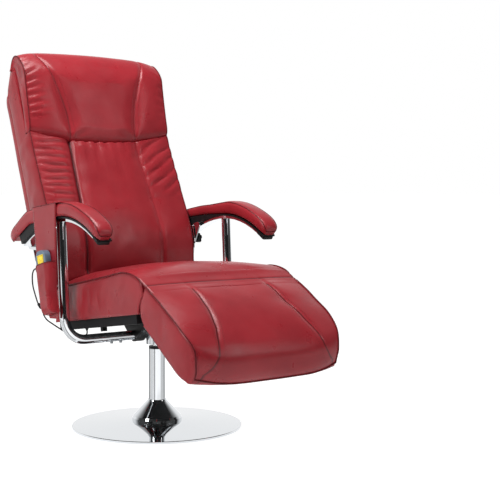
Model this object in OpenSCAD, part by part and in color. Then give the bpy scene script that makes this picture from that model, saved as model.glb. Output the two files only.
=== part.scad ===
// Reclining massage chair on a swivel column.
// Millimetres, +Z up. The sitter faces -Y and the sitter's right hand is at -X.
// The origin is on the swivel axis, at floor level.

/* [Base] */
// Diameter of the floor disc
base_d = 490; // [440:5:540]
// Thickness of the steel ballast plate
ballast_t = 5; // [4:0.5:7]
// Thickness of the rubber pad under the disc
pad_t = 1.5; // [1:0.5:3]
// Height of the dome at the middle of the cover
dome_h = 12.5; // [3:0.5:16]
// Sheet thickness of the chromed covers
sheet_t = 1.2; // [0.8:0.1:2]
// Outside diameter of the column
column_d = 48; // [44:1:56]
// Wall of the column tube
column_wall = 3; // [2:0.5:4]
// Height of the column's top edge above the floor
column_top = 227; // [200:1:250]
// Foot diameter of the conical cover
cone_d = 144; // [110:1:170]
// Height of the conical cover above the disc
cone_h = 59; // [50:1:90]
// Diameter of the turning spindle
spindle_d = 28; // [24:1:30]

/* [Frame] */
// Outside diameter of the frame tube
tube_d = 27.5; // [25:0.5:30]
// Wall of the frame tube
tube_wall = 2; // [1.5:0.1:3]
// Height of the cross run's centre
cross_z = 267; // [262:1:280]
// Distance of the cross run behind the swivel axis
cross_y = 28; // [20:1:34]
// Distance of the posts' centres outside the seat's side
post_out = 37; // [31:1:45]
// Centreline radius of the tube's bends
bend_r = 62; // [50:1:80]
// Length of the lower frame's legs above the cross run
leg_h = 82; // [70:1:120]
// Backward lean of the posts, in degrees
post_lean = 3.5; // [0:0.5:6]
// Diameter of the hub housing
hub_d = 64; // [56:1:72]
// Height of the hub housing's lower face
hub_z = 241; // [238:1:246]

/* [Arms] */
// Width of an arm pad
arm_w = 56; // [46:1:64]
// Thickness of the chromed arm bow
bow_t = 8; // [5:0.5:10]
// Width of the chromed arm bow
bow_w = 34; // [28:1:40]
// Thickness of the black liner at the front
liner_t = 5; // [4:0.5:8]
// Extra thickness of the liner at the rear
liner_rise = 33; // [20:1:36]
// Thickness of the arm pad at its crest
arm_pad_t = 33; // [26:1:40]

/* [Seat] */
// Half width of the seat and leg cushions
seat_hw = 245; // [225:1:248]
// Tilt of the seat, in degrees
seat_tilt = 8.24; // [6:0.1:10]
// Height of the seat frame's underside above the cross run's axis
seat_drop = 31; // [29:0.5:36]
// Depth of the wooden seat rails
rail_h = 25; // [20:1:30]
// Width of a seat rail
rail_w = 25; // [20:1:32]
// Thickness of the seat board
board_t = 12; // [9:1:15]
// Height of the seat cushion's crown above its side seams
seat_crown = 44; // [20:1:50]
// Diameter of a massage motor
motor_d = 46; // [38:1:52]
// Depth of a massage motor
motor_h = 15; // [12:0.5:15]

/* [Back] */
// Lean of the backrest at rest, in degrees
back_lean = 22; // [18:1:26]
// Distance of the recline pivot behind the swivel axis
pivot_y = 275; // [270:1:280]
// Height of the recline pivot
pivot_z = 525; // [520:1:530]
// Radius of the backrest's rounded lower end about the pivot
heel_r = 131; // [125:1:133]
// Radius of the recline slot about the pivot
slot_r = 100; // [90:1:104]
// Thickness of a quadrant plate
quadrant_t = 3; // [2:0.5:3]
// Diameter of the clamp bolt
clamp_d = 10; // [8:1:10]
// Recline range towards upright, in degrees
recline_up = 8; // [4:1:10]
// Recline range towards lying, in degrees
recline_down = 22; // [15:1:24]

/* [Leg rest] */
// Fall of the leg rest below horizontal at rest, in degrees
leg_fall = 33; // [28:1:38]
// Distance of the leg rest's hinge ahead of the swivel axis
hinge_y = 312; // [308:1:316]
// Height of the leg rest's hinge
hinge_z = 424; // [420:1:428]
// Diameter of a hinge pin
hinge_pin_d = 8; // [6:1:10]
// Thickness of the leg rest board
leg_board_t = 10; // [8:1:14]

/* [Remote control] */
// Length of the remote control
remote_l = 140; // [130:1:160]
// Width of its head
remote_head_w = 56; // [52:1:60]
// Width of its grip
remote_grip_w = 49; // [44:1:50]
// Thickness of the remote control
remote_t = 18; // [16:1:20]
// Wall of its two shells
remote_wall = 2; // [1.6:0.2:2.4]
// Diameter of a push button
button_d = 8; // [6:0.5:9]
// Tilt of the remote control and its pocket, in degrees
pocket_tilt = 13.3; // [8:0.1:18]
// Diameter of the cord
cord_d = 4; // [3:0.5:5]

/* [Hidden] */

$fn = 64;
eps = 0.01;
fit = 0.05;        // radial clearance of a running fit
soft_gap = 0.5;    // space between soft pieces of different bodies

chrome = "#d9dde0";
steel = "#9aa0a6";
black = "#1c1c1e";
red = "#a5343a";
ply = "#c9a574";
board_green = "#2f6b46";

// Heights in the base
ballast_z = pad_t;
flange_z = ballast_z + ballast_t;
cover_edge_z = flange_z + 1.2;
cover_top_z = cover_edge_z + dome_h;
flange_d = 2 * (cone_d / 2 - 14);
flange_t = 4;
base_bolt_r = 38;
base_bolt_d = 8;
collar_h = 7;
collar_depth = 38;
spindle_z = 34;
spindle_top = cross_z - tube_d / 2 - 1.5;
hub_top = cross_z + 6;
post_x = seat_hw + post_out;

// Seat frame of reference: the underside's line through a point above the cross run
seat_y0 = cross_y;
seat_z0 = cross_z + seat_drop;
seat_front = 322;
seat_rear = 119;
board_top = rail_h + board_t;

// Back frame of reference
back_hw = seat_hw - 4;
back_y0 = 204;
back_z0 = 390;
pivot_dy = pivot_y - back_y0;
pivot_dz = pivot_z - back_z0;
pivot_s = pivot_dy * sin(back_lean) + pivot_dz * cos(back_lean);
pivot_n = -pivot_dy * cos(back_lean) + pivot_dz * sin(back_lean);
board_n = -18;     // front face of the back board
back_board_n = board_n - board_t;
rear_cover_n = -40;
head_plane_n = 48; // the head cushion is sewn on along this plane
head_top_s = 692;
board_s = 620;     // upper end of the back board
back_seam_x = 130; // half width of the centre panel at the seat
mid_seam_x = 114;  // half width of both where they meet, under the head cushion's edge

// Sideways stack beside the backrest
nut_x = back_hw + 0.3;
nut_t = 3;
quadrant_x = nut_x + nut_t + 0.2;
bracket_x = quadrant_x + quadrant_t + 0.3;
bracket_t = 4;
arm_x = bracket_x + bracket_t;     // inner face of liners and bows
arm_mid = arm_x + 23;
pad_x = bracket_x + 1;             // inner face of the arm pads
clamp_angle = 4.6;                 // clamp bolt above the horizontal through the pivot
clamp_y = pivot_y - slot_r * cos(clamp_angle);
clamp_z = pivot_z + slot_r * sin(clamp_angle);

// Leg rest board
leg_y0 = 330;
leg_z0 = 343;
leg_len = 178;
strap_x = 200;
strap_t = 4;
tongue_t = 7.8;

// ---------- helpers ----------

module tube(d, wall, h) {
    difference() {
        cylinder(d = d, h = h);
        translate([0, 0, -eps])
            cylinder(d = d - 2 * wall, h = h + 2 * eps);
    }
}

// Extrudes a (y, z) outline along X from x0 to x1
module along_x(x0, x1) {
    translate([x0, 0, 0])
        rotate([90, 0, 90])
            linear_extrude(x1 - x0)
                children();
}

module both_sides() {
    children();
    mirror([1, 0, 0])
        children();
}

// Moves children to the seat's frame: X across, Y to the rear along the board, Z square to it
module on_seat() {
    translate([0, seat_y0, seat_z0])
        rotate([-seat_tilt, 0, 0])
            children();
}

// Moves children to the back's frame: X across, Y to the rear, Z up the slope
module on_back() {
    translate([0, back_y0, back_z0])
        rotate([-back_lean, 0, 0])
            children();
}

// Moves children to the leg rest's frame: Y runs from the hinge end to the feet, Z square to the board
module on_leg() {
    translate([0, -leg_y0, leg_z0])
        rotate([leg_fall, 0, 0])
            children();
}

// Moves children to the remote's frame: Z along it, -X is its face
module on_remote() {
    translate([remote_x, remote_y, remote_z])
        rotate([-pocket_tilt, 0, 0])
            children();
}

function mix(a, b, t) = a + (b - a) * t;
function clamp(v, lo, hi) = min(max(v, lo), hi);

// Point and upward normal of the arm's curve, a cubic from the rear to the front
arm_curve = [[300, 492], [150, 585], [0, 650], [-165, 543]];
function arm_point(t) =
    pow(1 - t, 3) * arm_curve[0] + 3 * t * pow(1 - t, 2) * arm_curve[1]
    + 3 * t * t * (1 - t) * arm_curve[2] + pow(t, 3) * arm_curve[3];
function arm_slope(t) =
    3 * pow(1 - t, 2) * (arm_curve[1] - arm_curve[0])
    + 6 * t * (1 - t) * (arm_curve[2] - arm_curve[1])
    + 3 * t * t * (arm_curve[3] - arm_curve[2]);
function arm_normal(t) = let (d = arm_slope(t)) [d[1], -d[0]] / norm(d);
function arm_at(t, lift) = arm_point(t) + arm_normal(t) * lift;
function liner_at(t) = liner_t + liner_rise * min(1, pow(max(0, (0.6 - t) / 0.35), 1.7));
function arm_pad_at(t) = arm_pad_t * (0.72 + 0.28 * sin(180 * clamp(t * 0.9, 0, 1)));

arm_steps = 16;
bow_start = 0.1;
module arm_ribbon(t0, t1, lo, hi) {
    ts = [for (i = [0:arm_steps]) mix(t0, t1, i / arm_steps)];
    polygon(concat(
        [for (t = ts) arm_at(t, lo(t))],
        [for (i = [arm_steps:-1:0]) arm_at(ts[i], hi(ts[i]))]));
}

// Closed surface through rings of points, with flat ends
module loft(rings) {
    m = len(rings[0]);
    n = len(rings);
    side = [for (i = [0:n - 2], j = [0:m - 1])
        let (a = i * m + j, b = i * m + (j + 1) % m)
        each [[a, b, a + m], [b, b + m, a + m]]];
    first = [for (j = [m - 1:-1:0]) j];
    last = [for (j = [0:m - 1]) (n - 1) * m + j];
    polyhedron(points = [for (r = rings) each r], faces = concat([first], side, [last]), convexity = 6);
}

// Closed surface of a cord: a ring of sides about every point of its route
function turn_of(path, i) =
    i == 0 ? path[1] - path[0]
    : i == len(path) - 1 ? path[i] - path[i - 1]
    : path[i + 1] - path[i - 1];
function unit(v) = v / norm(v);
function carried(path, i, side) =
    let (t = unit(turn_of(path, i))) unit(side - t * (side * t));
function frames(path, i = 0, side = [0.2, 0.9, 0.4], done = []) =
    i == len(path) ? done
    : let (s = carried(path, i, side)) frames(path, i + 1, s, concat(done, [s]));
module swept(path, r, sides = 8) {
    fr = frames(path);
    loft([for (i = [0:len(path) - 1])
        let (t = unit(turn_of(path, i)), u = fr[i], v = cross(t, u))
        [for (k = [0:sides - 1]) path[i] + r * (u * cos(360 * k / sides) - v * sin(360 * k / sides))]]);
}

// ---------- base ----------

module floor_pad() {
    color(black)
        cylinder(d = base_d - 16, h = pad_t);
}

module ballast_plate() {
    color(steel)
        translate([0, 0, ballast_z])
            difference() {
                cylinder(d = base_d - 12, h = ballast_t);
                for (a = [45:90:315])
                    rotate(a)
                        translate([base_bolt_r, 0, -eps])
                            cylinder(d = base_bolt_d, h = ballast_t + 2 * eps);
            }
}

module base_cover() {
    r = base_d / 2;
    inner = flange_d / 2 + 1;
    color(chrome)
        rotate_extrude($fn = 128)
            polygon([[inner, cover_top_z - sheet_t], [cone_d / 2, cover_top_z - sheet_t],
                [r - 3.2, cover_edge_z - sheet_t], [r - 3.2, 1], [r, 1], [r, cover_edge_z - 1.5],
                [r - 1.2, cover_edge_z], [cone_d / 2, cover_top_z], [inner, cover_top_z]]);
}

module column_tube() {
    color(chrome) {
        difference() {
            union() {
                translate([0, 0, flange_z])
                    cylinder(d = flange_d, h = flange_t);
                translate([0, 0, flange_z])
                    cylinder(d = column_d, h = column_top - flange_z);
            }
            translate([0, 0, flange_z - eps])
                cylinder(d = column_d - 2 * column_wall, h = column_top);
            for (a = [45:90:315])
                rotate(a)
                    translate([base_bolt_r, 0, flange_z - eps])
                        cylinder(d = base_bolt_d, h = flange_t + 2 * eps);
        }
    }
}

module base_bolts() {
    color(steel)
        for (a = [45:90:315])
            rotate(a)
                translate([base_bolt_r, 0, ballast_z]) {
                    cylinder(d = base_bolt_d, h = ballast_t + flange_t);
                    translate([0, 0, ballast_t + flange_t])
                        cylinder(d = 13, h = 5, $fn = 6);
                }
}

module trumpet_cover() {
    top_z = cover_top_z + cone_h;
    foot = cone_d / 2;
    neck = column_d / 2 + 0.2;
    color(chrome)
        rotate_extrude($fn = 96)
            polygon([[foot - 3, cover_top_z], [foot, cover_top_z], [foot, cover_top_z + 7],
                [foot - 3, cover_top_z + 13], [neck + 8, top_z - 8], [neck + 4, top_z - 3],
                [neck + 3, top_z], [neck, top_z], [neck, top_z - 9], [neck + 6, top_z - 10],
                [foot - 5, cover_top_z + 11], [foot - 4, cover_top_z + 6]]);
}

module column_collar() {
    color(black)
        difference() {
            union() {
                translate([0, 0, column_top])
                    cylinder(d = column_d - 1, h = collar_h);
                translate([0, 0, column_top - collar_depth])
                    cylinder(d = column_d - 2 * column_wall, h = collar_depth + eps);
            }
            translate([0, 0, column_top - collar_depth - eps])
                cylinder(d = spindle_d + 2 * fit, h = collar_depth + collar_h + 1);
        }
}

module lower_bearing() {
    seat_h = 14;
    color(steel)
        difference() {
            translate([0, 0, flange_z])
                cylinder(d = column_d - 2 * column_wall, h = spindle_z - flange_z + seat_h);
            translate([0, 0, spindle_z - fit])
                cylinder(d = spindle_d + 2 * fit, h = seat_h + 1);
        }
}

// ---------- swivelling frame ----------

module spindle() {
    color(chrome)
        translate([0, 0, spindle_z])
            cylinder(d = spindle_d, h = spindle_top - spindle_z);
}

module hub_housing() {
    color(chrome)
        difference() {
            translate([0, 0, hub_z])
                cylinder(d = hub_d, h = hub_top - hub_z);
            translate([0, 0, hub_z - eps])
                cylinder(d = spindle_d, h = spindle_top - hub_z + eps);
            translate([-hub_d, cross_y, cross_z])
                rotate([0, 90, 0])
                    cylinder(d = tube_d, h = 2 * hub_d);
        }
}

// Frame's own axes: the cross run lies along X through the origin, the posts rise and lean back
module on_frame() {
    translate([0, cross_y, cross_z])
        rotate([-post_lean, 0, 0])
            children();
}

module lower_frame_tube() {
    run = post_x - bend_r;
    color(chrome)
        on_frame() {
            translate([-run, 0, 0])
                rotate([0, 90, 0])
                    tube(tube_d, tube_wall, 2 * run);
            both_sides() {
                translate([run, 0, bend_r])
                    rotate([90, 0, 0])
                        rotate([0, 0, -90])
                            rotate_extrude(angle = 90)
                                translate([bend_r, 0])
                                    difference() {
                                        circle(d = tube_d);
                                        circle(d = tube_d - 2 * tube_wall);
                                    }
                translate([post_x, 0, bend_r])
                    tube(tube_d, tube_wall, leg_h - bend_r);
            }
        }
}

// Everything below the arm bow, to trim the tops of the posts
module under_bow() {
    along_x(post_x - tube_d, post_x + tube_d)
        polygon(concat([for (i = [0:arm_steps]) arm_point(mix(bow_start, 1, i / arm_steps))],
            [[-165, 200], [255, 200]]));
}

module upper_posts() {
    color(chrome)
        both_sides()
            intersection() {
                on_frame()
                    translate([post_x, 0, 0]) {
                        translate([0, 0, leg_h])
                            cylinder(d = tube_d, h = 300);
                        translate([0, 0, bend_r + 1])
                            cylinder(d = tube_d - 2 * tube_wall - 0.2, h = leg_h - bend_r);
                    }
                under_bow();
            }
}

module arm_bows() {
    color(chrome)
        both_sides()
            along_x(arm_mid - bow_w / 2, arm_mid + bow_w / 2)
                arm_ribbon(bow_start, 1, function(t) 0, function(t) bow_t);
}

module arm_liners() {
    color(black)
        both_sides()
            along_x(arm_x, arm_x + 46)
                arm_ribbon(bow_start, 1, function(t) bow_t, function(t) bow_t + liner_at(t));
}

// Rounded pad along the arm's curve; its ends are drawn in
arm_pad_ts = concat([0, 0.015, 0.04, 0.07], [for (i = [0:arm_steps - 1]) mix(bow_start, 1, i / arm_steps)],
    [0.965, 0.985, 1]);
function end_share(t) =
    0.5 + 0.5 * sqrt(1 - pow(1 - min(clamp(t / 0.07, 0, 1), clamp((1 - t) / 0.06, 0, 1)), 2));
module arm_pad() {
    sides = 18;
    color(red)
        loft([for (t = arm_pad_ts)
            let (k = end_share(t), th = arm_pad_at(t), low = bow_t + liner_at(t) + 0.05)
            [for (j = [0:sides - 1])
                let (a = 360 * j / sides, c = cos(a), s = sin(a),
                    w = sign(c) * pow(abs(c), 0.55), h = sign(s) * pow(abs(s), 0.6),
                    p = arm_at(t, low + th / 2 * mix(0.6, 1, k) * (1 + h)))
                [pad_x + arm_w / 2 + arm_w / 2 * w * k, p[0], p[1]]]]);
}

module left_arm_pad() {
    mirror([1, 0, 0])
        arm_pad();
}

module right_arm_pad() {
    arm_pad();
}

// Plate on each arm that carries the pivot bolt and the clamp bolt
module recline_brackets() {
    color(chrome)
        both_sides()
            difference() {
                along_x(bracket_x, bracket_x + bracket_t)
                    hull() {
                        translate([pivot_y, pivot_z])
                            circle(r = 18, $fn = 32);
                        translate([pivot_y + 20, pivot_z - 2])
                            circle(r = 16, $fn = 32);
                        translate([clamp_y, clamp_z])
                            circle(r = 15, $fn = 32);
                        translate([225, 518])
                            circle(r = 12, $fn = 32);
                        translate([150, 574])
                            circle(r = 10, $fn = 32);
                    }
                translate([bracket_x - 1, pivot_y, pivot_z])
                    rotate([0, 90, 0])
                        cylinder(d = 12, h = bracket_t + 2);
                translate([bracket_x - 1, clamp_y, clamp_z])
                    rotate([0, 90, 0])
                        cylinder(d = clamp_d + 2 * fit, h = bracket_t + 2);
            }
}

module pivot_bolts() {
    color(steel)
        both_sides()
            translate([0, pivot_y, pivot_z])
                rotate([0, 90, 0]) {
                    translate([0, 0, nut_x])
                        cylinder(d = 12, h = bracket_x + bracket_t - nut_x);
                    translate([0, 0, bracket_x + bracket_t])
                        cylinder(d = 20, h = 6);
                }
}

// Two black saddles tie the seat frame to the cross run
module seat_saddles() {
    color(black)
        both_sides()
            difference() {
                along_x(32, 62)
                    intersection() {
                        hull() {
                            translate([cross_y, cross_z])
                                circle(d = tube_d + 10, $fn = 48);
                            translate([cross_y - 70, seat_z0 + 9])
                                square([140, 6]);
                        }
                        polygon([[-200, 200], [300, 200],
                            [300, seat_z0 - (300 - seat_y0) * tan(seat_tilt)],
                            [-200, seat_z0 + (200 + seat_y0) * tan(seat_tilt)]]);
                    }
                translate([30, cross_y, cross_z])
                    rotate([0, 90, 0])
                        cylinder(d = tube_d, h = 40);
            }
}

module frame_bolts() {
    color(steel)
        translate([0, cross_y, cross_z - tube_d / 2])
            for (x = [-135, -105, 105, 135])
                translate([x, 0, -4.5])
                    cylinder(d = 10, h = 4.5, $fn = 6);
}

// ---------- seat ----------

module seat_frame() {
    hw = seat_hw - 9;
    front = -seat_front + 22;
    rear = seat_rear - 4;
    color(black)
        on_seat()
            difference() {
                translate([-hw, front, 0])
                    cube([2 * hw, rear - front, rail_h]);
                for (y = [[front + rail_w, -seat_y0 - 40], [-seat_y0 - 40 + 2 * rail_w, rear - rail_w]])
                    translate([-hw + rail_w, y[0], -1])
                        cube([2 * (hw - rail_w), y[1] - y[0], rail_h + 2]);
            }
}

// Middles of the two motors in the seat board
seat_motor_x = 95;
seat_motor_y = -235;

module seat_board() {
    hw = seat_hw - 9;
    front = -seat_front + 22;
    color(ply)
        on_seat()
            difference() {
                translate([-hw, front, rail_h])
                    cube([2 * hw, seat_rear - 4 - front, board_t]);
                for (x = [-seat_motor_x, seat_motor_x])
                    translate([x, seat_motor_y, rail_h - 1])
                        cylinder(d = motor_d, h = board_t + 2);
            }
}

module motor(flange_from_top) {
    color(steel) {
        cylinder(d = motor_d, h = motor_h);
        translate([0, 0, motor_h - flange_from_top - 2])
            cylinder(d = motor_d + 14, h = 2);
    }
}

module seat_motors() {
    on_seat()
        for (x = [-seat_motor_x, seat_motor_x])
            translate([x, seat_motor_y, board_top - motor_h])
                motor(board_t);
}

// Shares of the half width where a cushion's rings lie; 0.5 is the sewn seam
ring_u = [0, 0.2, 0.38, 0.46, 0.5, 0.54, 0.66, 0.8, 0.93, 1];
ring_shares = concat([for (i = [len(ring_u) - 1:-1:1]) -ring_u[i]], ring_u);
function seam_dip(u) = max(0, 1 - abs(abs(u) - 0.5) / 0.045);
function across(u, seam, hw) =
    sign(u) * (abs(u) < 0.5 ? 2 * abs(u) * seam : mix(seam, hw, 2 * abs(u) - 1));
function arch(u) = 1 - pow(abs(u), 3.2);

// The hinge straps rise in slots cut in both cushions
slot_in = strap_x - 12;
slot_out = strap_x + 12;
function in_slot(x) = abs(x) > slot_in - eps && abs(x) < slot_out + eps;
function seat_notch(p, x) = in_slot(x) && p[1] < -262 && p[2] < hinge_z + 13 ? [p[0], -262, p[2]] : p;
function leg_notch(p, x) = in_slot(x) && p[1] > -340 && p[2] < hinge_z + 11 ? [p[0], -340, p[2]] : p;
slot_stations = [slot_in - 0.1, slot_in, slot_out, slot_out + 0.1];

// Side outline of the seat cushion: y, z and its share of the crown
function seat_under(y) = seat_z0 + (seat_y0 - y) * tan(seat_tilt) + (board_top + 0.05) / cos(seat_tilt);
seat_side = [[147, seat_under(147), 0], [146, 360, 0.02], [147, 398, 0.35], [138, 406, 0.8],
    [91, 413, 0.95], [20, 426, 0.9], [-49, 439, 0.82], [-130, 454, 0.62], [-216, 470, 0.32],
    [-265, 466, 0.2], [-290, 458, 0.12], [-303, 449, 0.04], [-hinge_y + 0.6, hinge_z, 0],
    [-296.5, 395, 0], [-292, seat_under(-292), 0], [-80, seat_under(-80), 0]];

module seat_cushion() {
    xs = concat([-seat_hw, 13 - seat_hw], [for (i = [3:-1:0]) -slot_stations[i]],
        [-170, -120, -60, 0, 60, 120, 170], slot_stations, [seat_hw - 13, seat_hw]);
    color(red)
        loft([for (x = xs) let (u = x / seat_hw)
            [for (p = seat_side)
                seat_notch([x, p[0], p[1] + seat_crown * p[2] * arch(u)], x)]]);
}

module dust_cover() {
    color("#2a2a2c")
        on_seat()
            difference() {
                translate([-seat_hw + 14, -seat_front + 28, -1])
                    cube([2 * (seat_hw - 14), seat_rear + seat_front - 38, 1]);
                translate([-80, -90, -2])
                    cube([160, 150, 3]);
                translate([gland_x, 44.6, -2])
                    cylinder(d = 10, h = 3);
                translate([inlet_x - socket_w / 2 - 1, inlet_y - socket_w - 1, -2])
                    cube([socket_w + 2, socket_w + 2, 3]);
            }
}

// ---------- leg rest hinges ----------

module legrest_hinges() {
    color(steel)
        for (side = [-1, 1])
            difference() {
                for (x = [side * strap_x - strap_t - tongue_t / 2 - 0.1, side * strap_x + tongue_t / 2 + 0.1])
                    along_x(x, x + strap_t)
                        difference() {
                            hull() {
                                translate([-hinge_y, hinge_z])
                                    circle(r = 9, $fn = 32);
                                translate([-283, 372])
                                    circle(r = 10, $fn = 32);
                                translate([-270, 388])
                                    circle(r = 6, $fn = 32);
                            }
                            polygon([[-400, 300], [-200, 300],
                                [-200, seat_under(-200)], [-400, seat_under(-400)]]);
                        }
                translate([side * strap_x - 20, -hinge_y, hinge_z])
                    rotate([0, 90, 0])
                        cylinder(d = hinge_pin_d, h = 40);
            }
}

module legrest_pins() {
    color(steel)
        for (side = [-1, 1])
            translate([side * strap_x - 11, -hinge_y, hinge_z])
                rotate([0, 90, 0])
                    cylinder(d = hinge_pin_d, h = 22);
}

// ---------- leg rest ----------

leg_motor_x = 95;
leg_motor_y = -95;

module legrest_board() {
    color(ply)
        on_leg()
            difference() {
                translate([-seat_hw + 12, -leg_len, -leg_board_t])
                    cube([2 * (seat_hw - 12), leg_len, leg_board_t]);
                for (x = [-leg_motor_x, leg_motor_x])
                    translate([x, leg_motor_y, -leg_board_t - 1])
                        cylinder(d = motor_d, h = leg_board_t + 2);
            }
}

module legrest_tongues() {
    color(steel)
        for (side = [-1, 1])
            difference() {
                along_x(side * strap_x - tongue_t / 2, side * strap_x + tongue_t / 2)
                    union() {
                        hull() {
                            translate([-hinge_y, hinge_z])
                                circle(r = 9, $fn = 32);
                            translate([-322, 372])
                                circle(r = 9, $fn = 32);
                        }
                        hull() {
                            translate([-322, 372])
                                circle(r = 9, $fn = 32);
                            translate([-leg_y0 + 1.5, leg_z0 + 6])
                                circle(r = 6, $fn = 32);
                        }
                    }
                translate([side * strap_x - 20, -hinge_y, hinge_z])
                    rotate([0, 90, 0])
                        cylinder(d = hinge_pin_d + 2 * fit, h = 40);
            }
}

function leg_under(y) = leg_z0 + (y + leg_y0) * tan(leg_fall) + 0.05;
leg_side = [[-hinge_y - 0.6, hinge_z, 0], [-322, 438, 0.1], [-346, 428, 0.7], [-380, 410, 1],
    [-415, 388, 1], [-460, 361, 1], [-502, 327, 0.8], [-532, 300, 0.4], [-547, 276, 0.1],
    [-549, 250, 0], [-543, 224, 0], [-527, 208, 0], [-507, 206, 0], [-491.4, leg_under(-491.4), 0],
    [-400, leg_under(-400), 0], [-321, leg_under(-321), 0], [-300.5, 372, 0], [-298, 395, 0]];
leg_crown = 14;

// The foot end is shorter towards its two corners
foot_corner = 26;
function foot_pull(y, u) = y < -493 ? foot_corner * pow(abs(u), 5) * (-493 - y) / 55 : 0;
function foot_round(p, u) = p + foot_pull(p[1], u) * [0, 1, tan(leg_fall)];

module legrest_cushion() {
    seam = 150;
    dip = 4;
    xs = concat([-seat_hw, 13 - seat_hw], [for (i = [3:-1:0]) -slot_stations[i]],
        [-seam - 10, -seam, -seam + 10, -75, 0, 75, seam - 10, seam, seam + 10], slot_stations,
        [seat_hw - 13, seat_hw]);
    color(red)
        loft([for (x = xs) let (u = x / seat_hw, sink = max(0, 1 - abs(abs(x) - seam) / 10))
            [for (p = leg_side)
                let (up = (leg_crown * arch(u) - dip * sink) * p[2])
                leg_notch(foot_round([x, p[0] - up * sin(leg_fall), p[1] + up * cos(leg_fall)], u), x)]]);
}

module legrest_motors() {
    on_leg()
        for (x = [-leg_motor_x, leg_motor_x])
            translate([x, leg_motor_y, -motor_h])
                motor(leg_board_t);
}

module legrest_pan() {
    pan_h = 12;
    hw = seat_hw - 24;
    color(black)
        on_leg()
            difference() {
                translate([-hw, -leg_len + 12, -leg_board_t - pan_h])
                    cube([2 * hw, leg_len - 24, pan_h]);
                translate([-hw + 3, -leg_len + 15, -leg_board_t - pan_h + 2])
                    cube([2 * hw - 6, leg_len - 30, pan_h]);
            }
}

// ---------- backrest ----------

back_motor_places = [[85, 585], [80, 327], [82, 95]];

module back_board() {
    color(ply)
        on_back()
            difference() {
                translate([-back_hw + 8, -board_n, 34])
                    cube([2 * (back_hw - 8), board_t, board_s - 38]);
                for (p = back_motor_places, side = [-1, 1])
                    translate([side * p[0], -board_n - 1, p[1]])
                        rotate([-90, 0, 0])
                            cylinder(d = motor_d, h = board_t + 2);
                translate([-heater_w / 2, -board_n - 1, heater_s])
                    cube([heater_w, 1 + heater_t, heater_h]);
            }
}

module back_motors() {
    on_back()
        for (p = back_motor_places, side = [-1, 1])
            translate([side * p[0], -board_n + motor_h, p[1]])
                rotate([90, 0, 0])
                    motor(board_t);
}

heater_w = 110;
heater_h = 150;
heater_s = 140;
heater_t = 2;

module heating_pad() {
    color("#d8d4c8")
        on_back()
            translate([-heater_w / 2, -board_n, heater_s])
                cube([heater_w, heater_t, heater_h]);
}

// Lower edge of the head cushion: it hangs lowest in the middle
function flap_s(u) = 474 - 36 * (1 - u * u);
function top_drop(s, u) = s < 600 ? 0 : (9 * u * u + 12 * pow(abs(u), 8) - 17) * (s - 600) / 128;
function back_seam(s) = mix(back_seam_x, mid_seam_x, clamp((s - 140) / 280, 0, 1));
function head_seam(s) = mix(mid_seam_x, 186, pow(clamp((s - 474) / 226, 0, 1), 1.8));

// Front of the back at its side seams, in steps between named heights
back_front = [[49, 62], [90, 78], [134, 88], [200, 88], [265, 84], [345, 78], [422, 73], [480, 72]];
function front_at(s, i = 0) =
    i >= len(back_front) - 2 || s <= back_front[i + 1][0]
    ? mix(back_front[i][1], back_front[i + 1][1],
        clamp((s - back_front[i][0]) / (back_front[i + 1][0] - back_front[i][0]), 0, 1))
    : front_at(s, i + 1);

front_rows = 26;
pleat_pitch = 48;
function pleats(s, u) =
    abs(u) < 0.5 ? 0 : 3 * sin(360 * s / pleat_pitch) * sin(180 * clamp(2 * abs(u) - 1, 0, 1));
function back_crown(s, u) =
    let (start = clamp((s - 49) / 60, 0, 1))
    start * ((abs(u) < 0.5 ? 11 * (1 - 2 * u * u) : 8 * arch(u)) + pleats(s, u)) - 7 * start * seam_dip(u);

function back_ring(u) =
    let (top = flap_s(u) - soft_gap)
    concat(
        [for (a = [-1:7.8:38]) [pivot_s - heel_r * cos(a), pivot_n + heel_r * sin(a)]],
        [for (i = [1:front_rows])
            let (s = mix(49, top, i / front_rows)) [s, front_at(s) + back_crown(s, u)]],
        [[top, head_plane_n], [head_top_s, head_plane_n], [head_top_s, 24], [660, -2],
            [board_s, board_n + 0.05]]);

module back_cushion() {
    color(red)
        on_back()
            loft([for (u = ring_shares)
                [for (p = back_ring(u))
                    [across(u, back_seam(p[0]), back_hw), -p[1], p[0] - top_drop(p[0], u)]]]);
}

// Head cushion's outline: s, n and its share of the crown
head_side = [[0, head_plane_n + 0.05, 0], [0, 70, 0.2], [12, 80, 0.9], [50, 87, 1], [100, 96, 1],
    [150, 106, 1], [178, 111, 0.9],
    [200, 107, 0.7], [222, 97, 0.5], [240, 84, 0.3], [249, 68, 0.1], [247, 54, 0],
    [236, 40, 0], [head_top_s - 474 + 0.3, 26, 0], [head_top_s - 474 + 0.3, head_plane_n + 0.05, 0]];

function head_point(p, u) =
    let (low = flap_s(u), s = p[0] > 210 ? p[0] + 474 : mix(low, 684, p[0] / 210))
    [s, p[1] + p[2] * (10 * arch(u) - 6 * seam_dip(u))];

module head_cushion() {
    color(red)
        on_back()
            loft([for (u = ring_shares)
                [for (q = head_side)
                    let (p = head_point(q, u))
                    [across(u, head_seam(p[0]), back_hw), -p[1], p[0] - top_drop(p[0], u)]]]);
}

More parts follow.
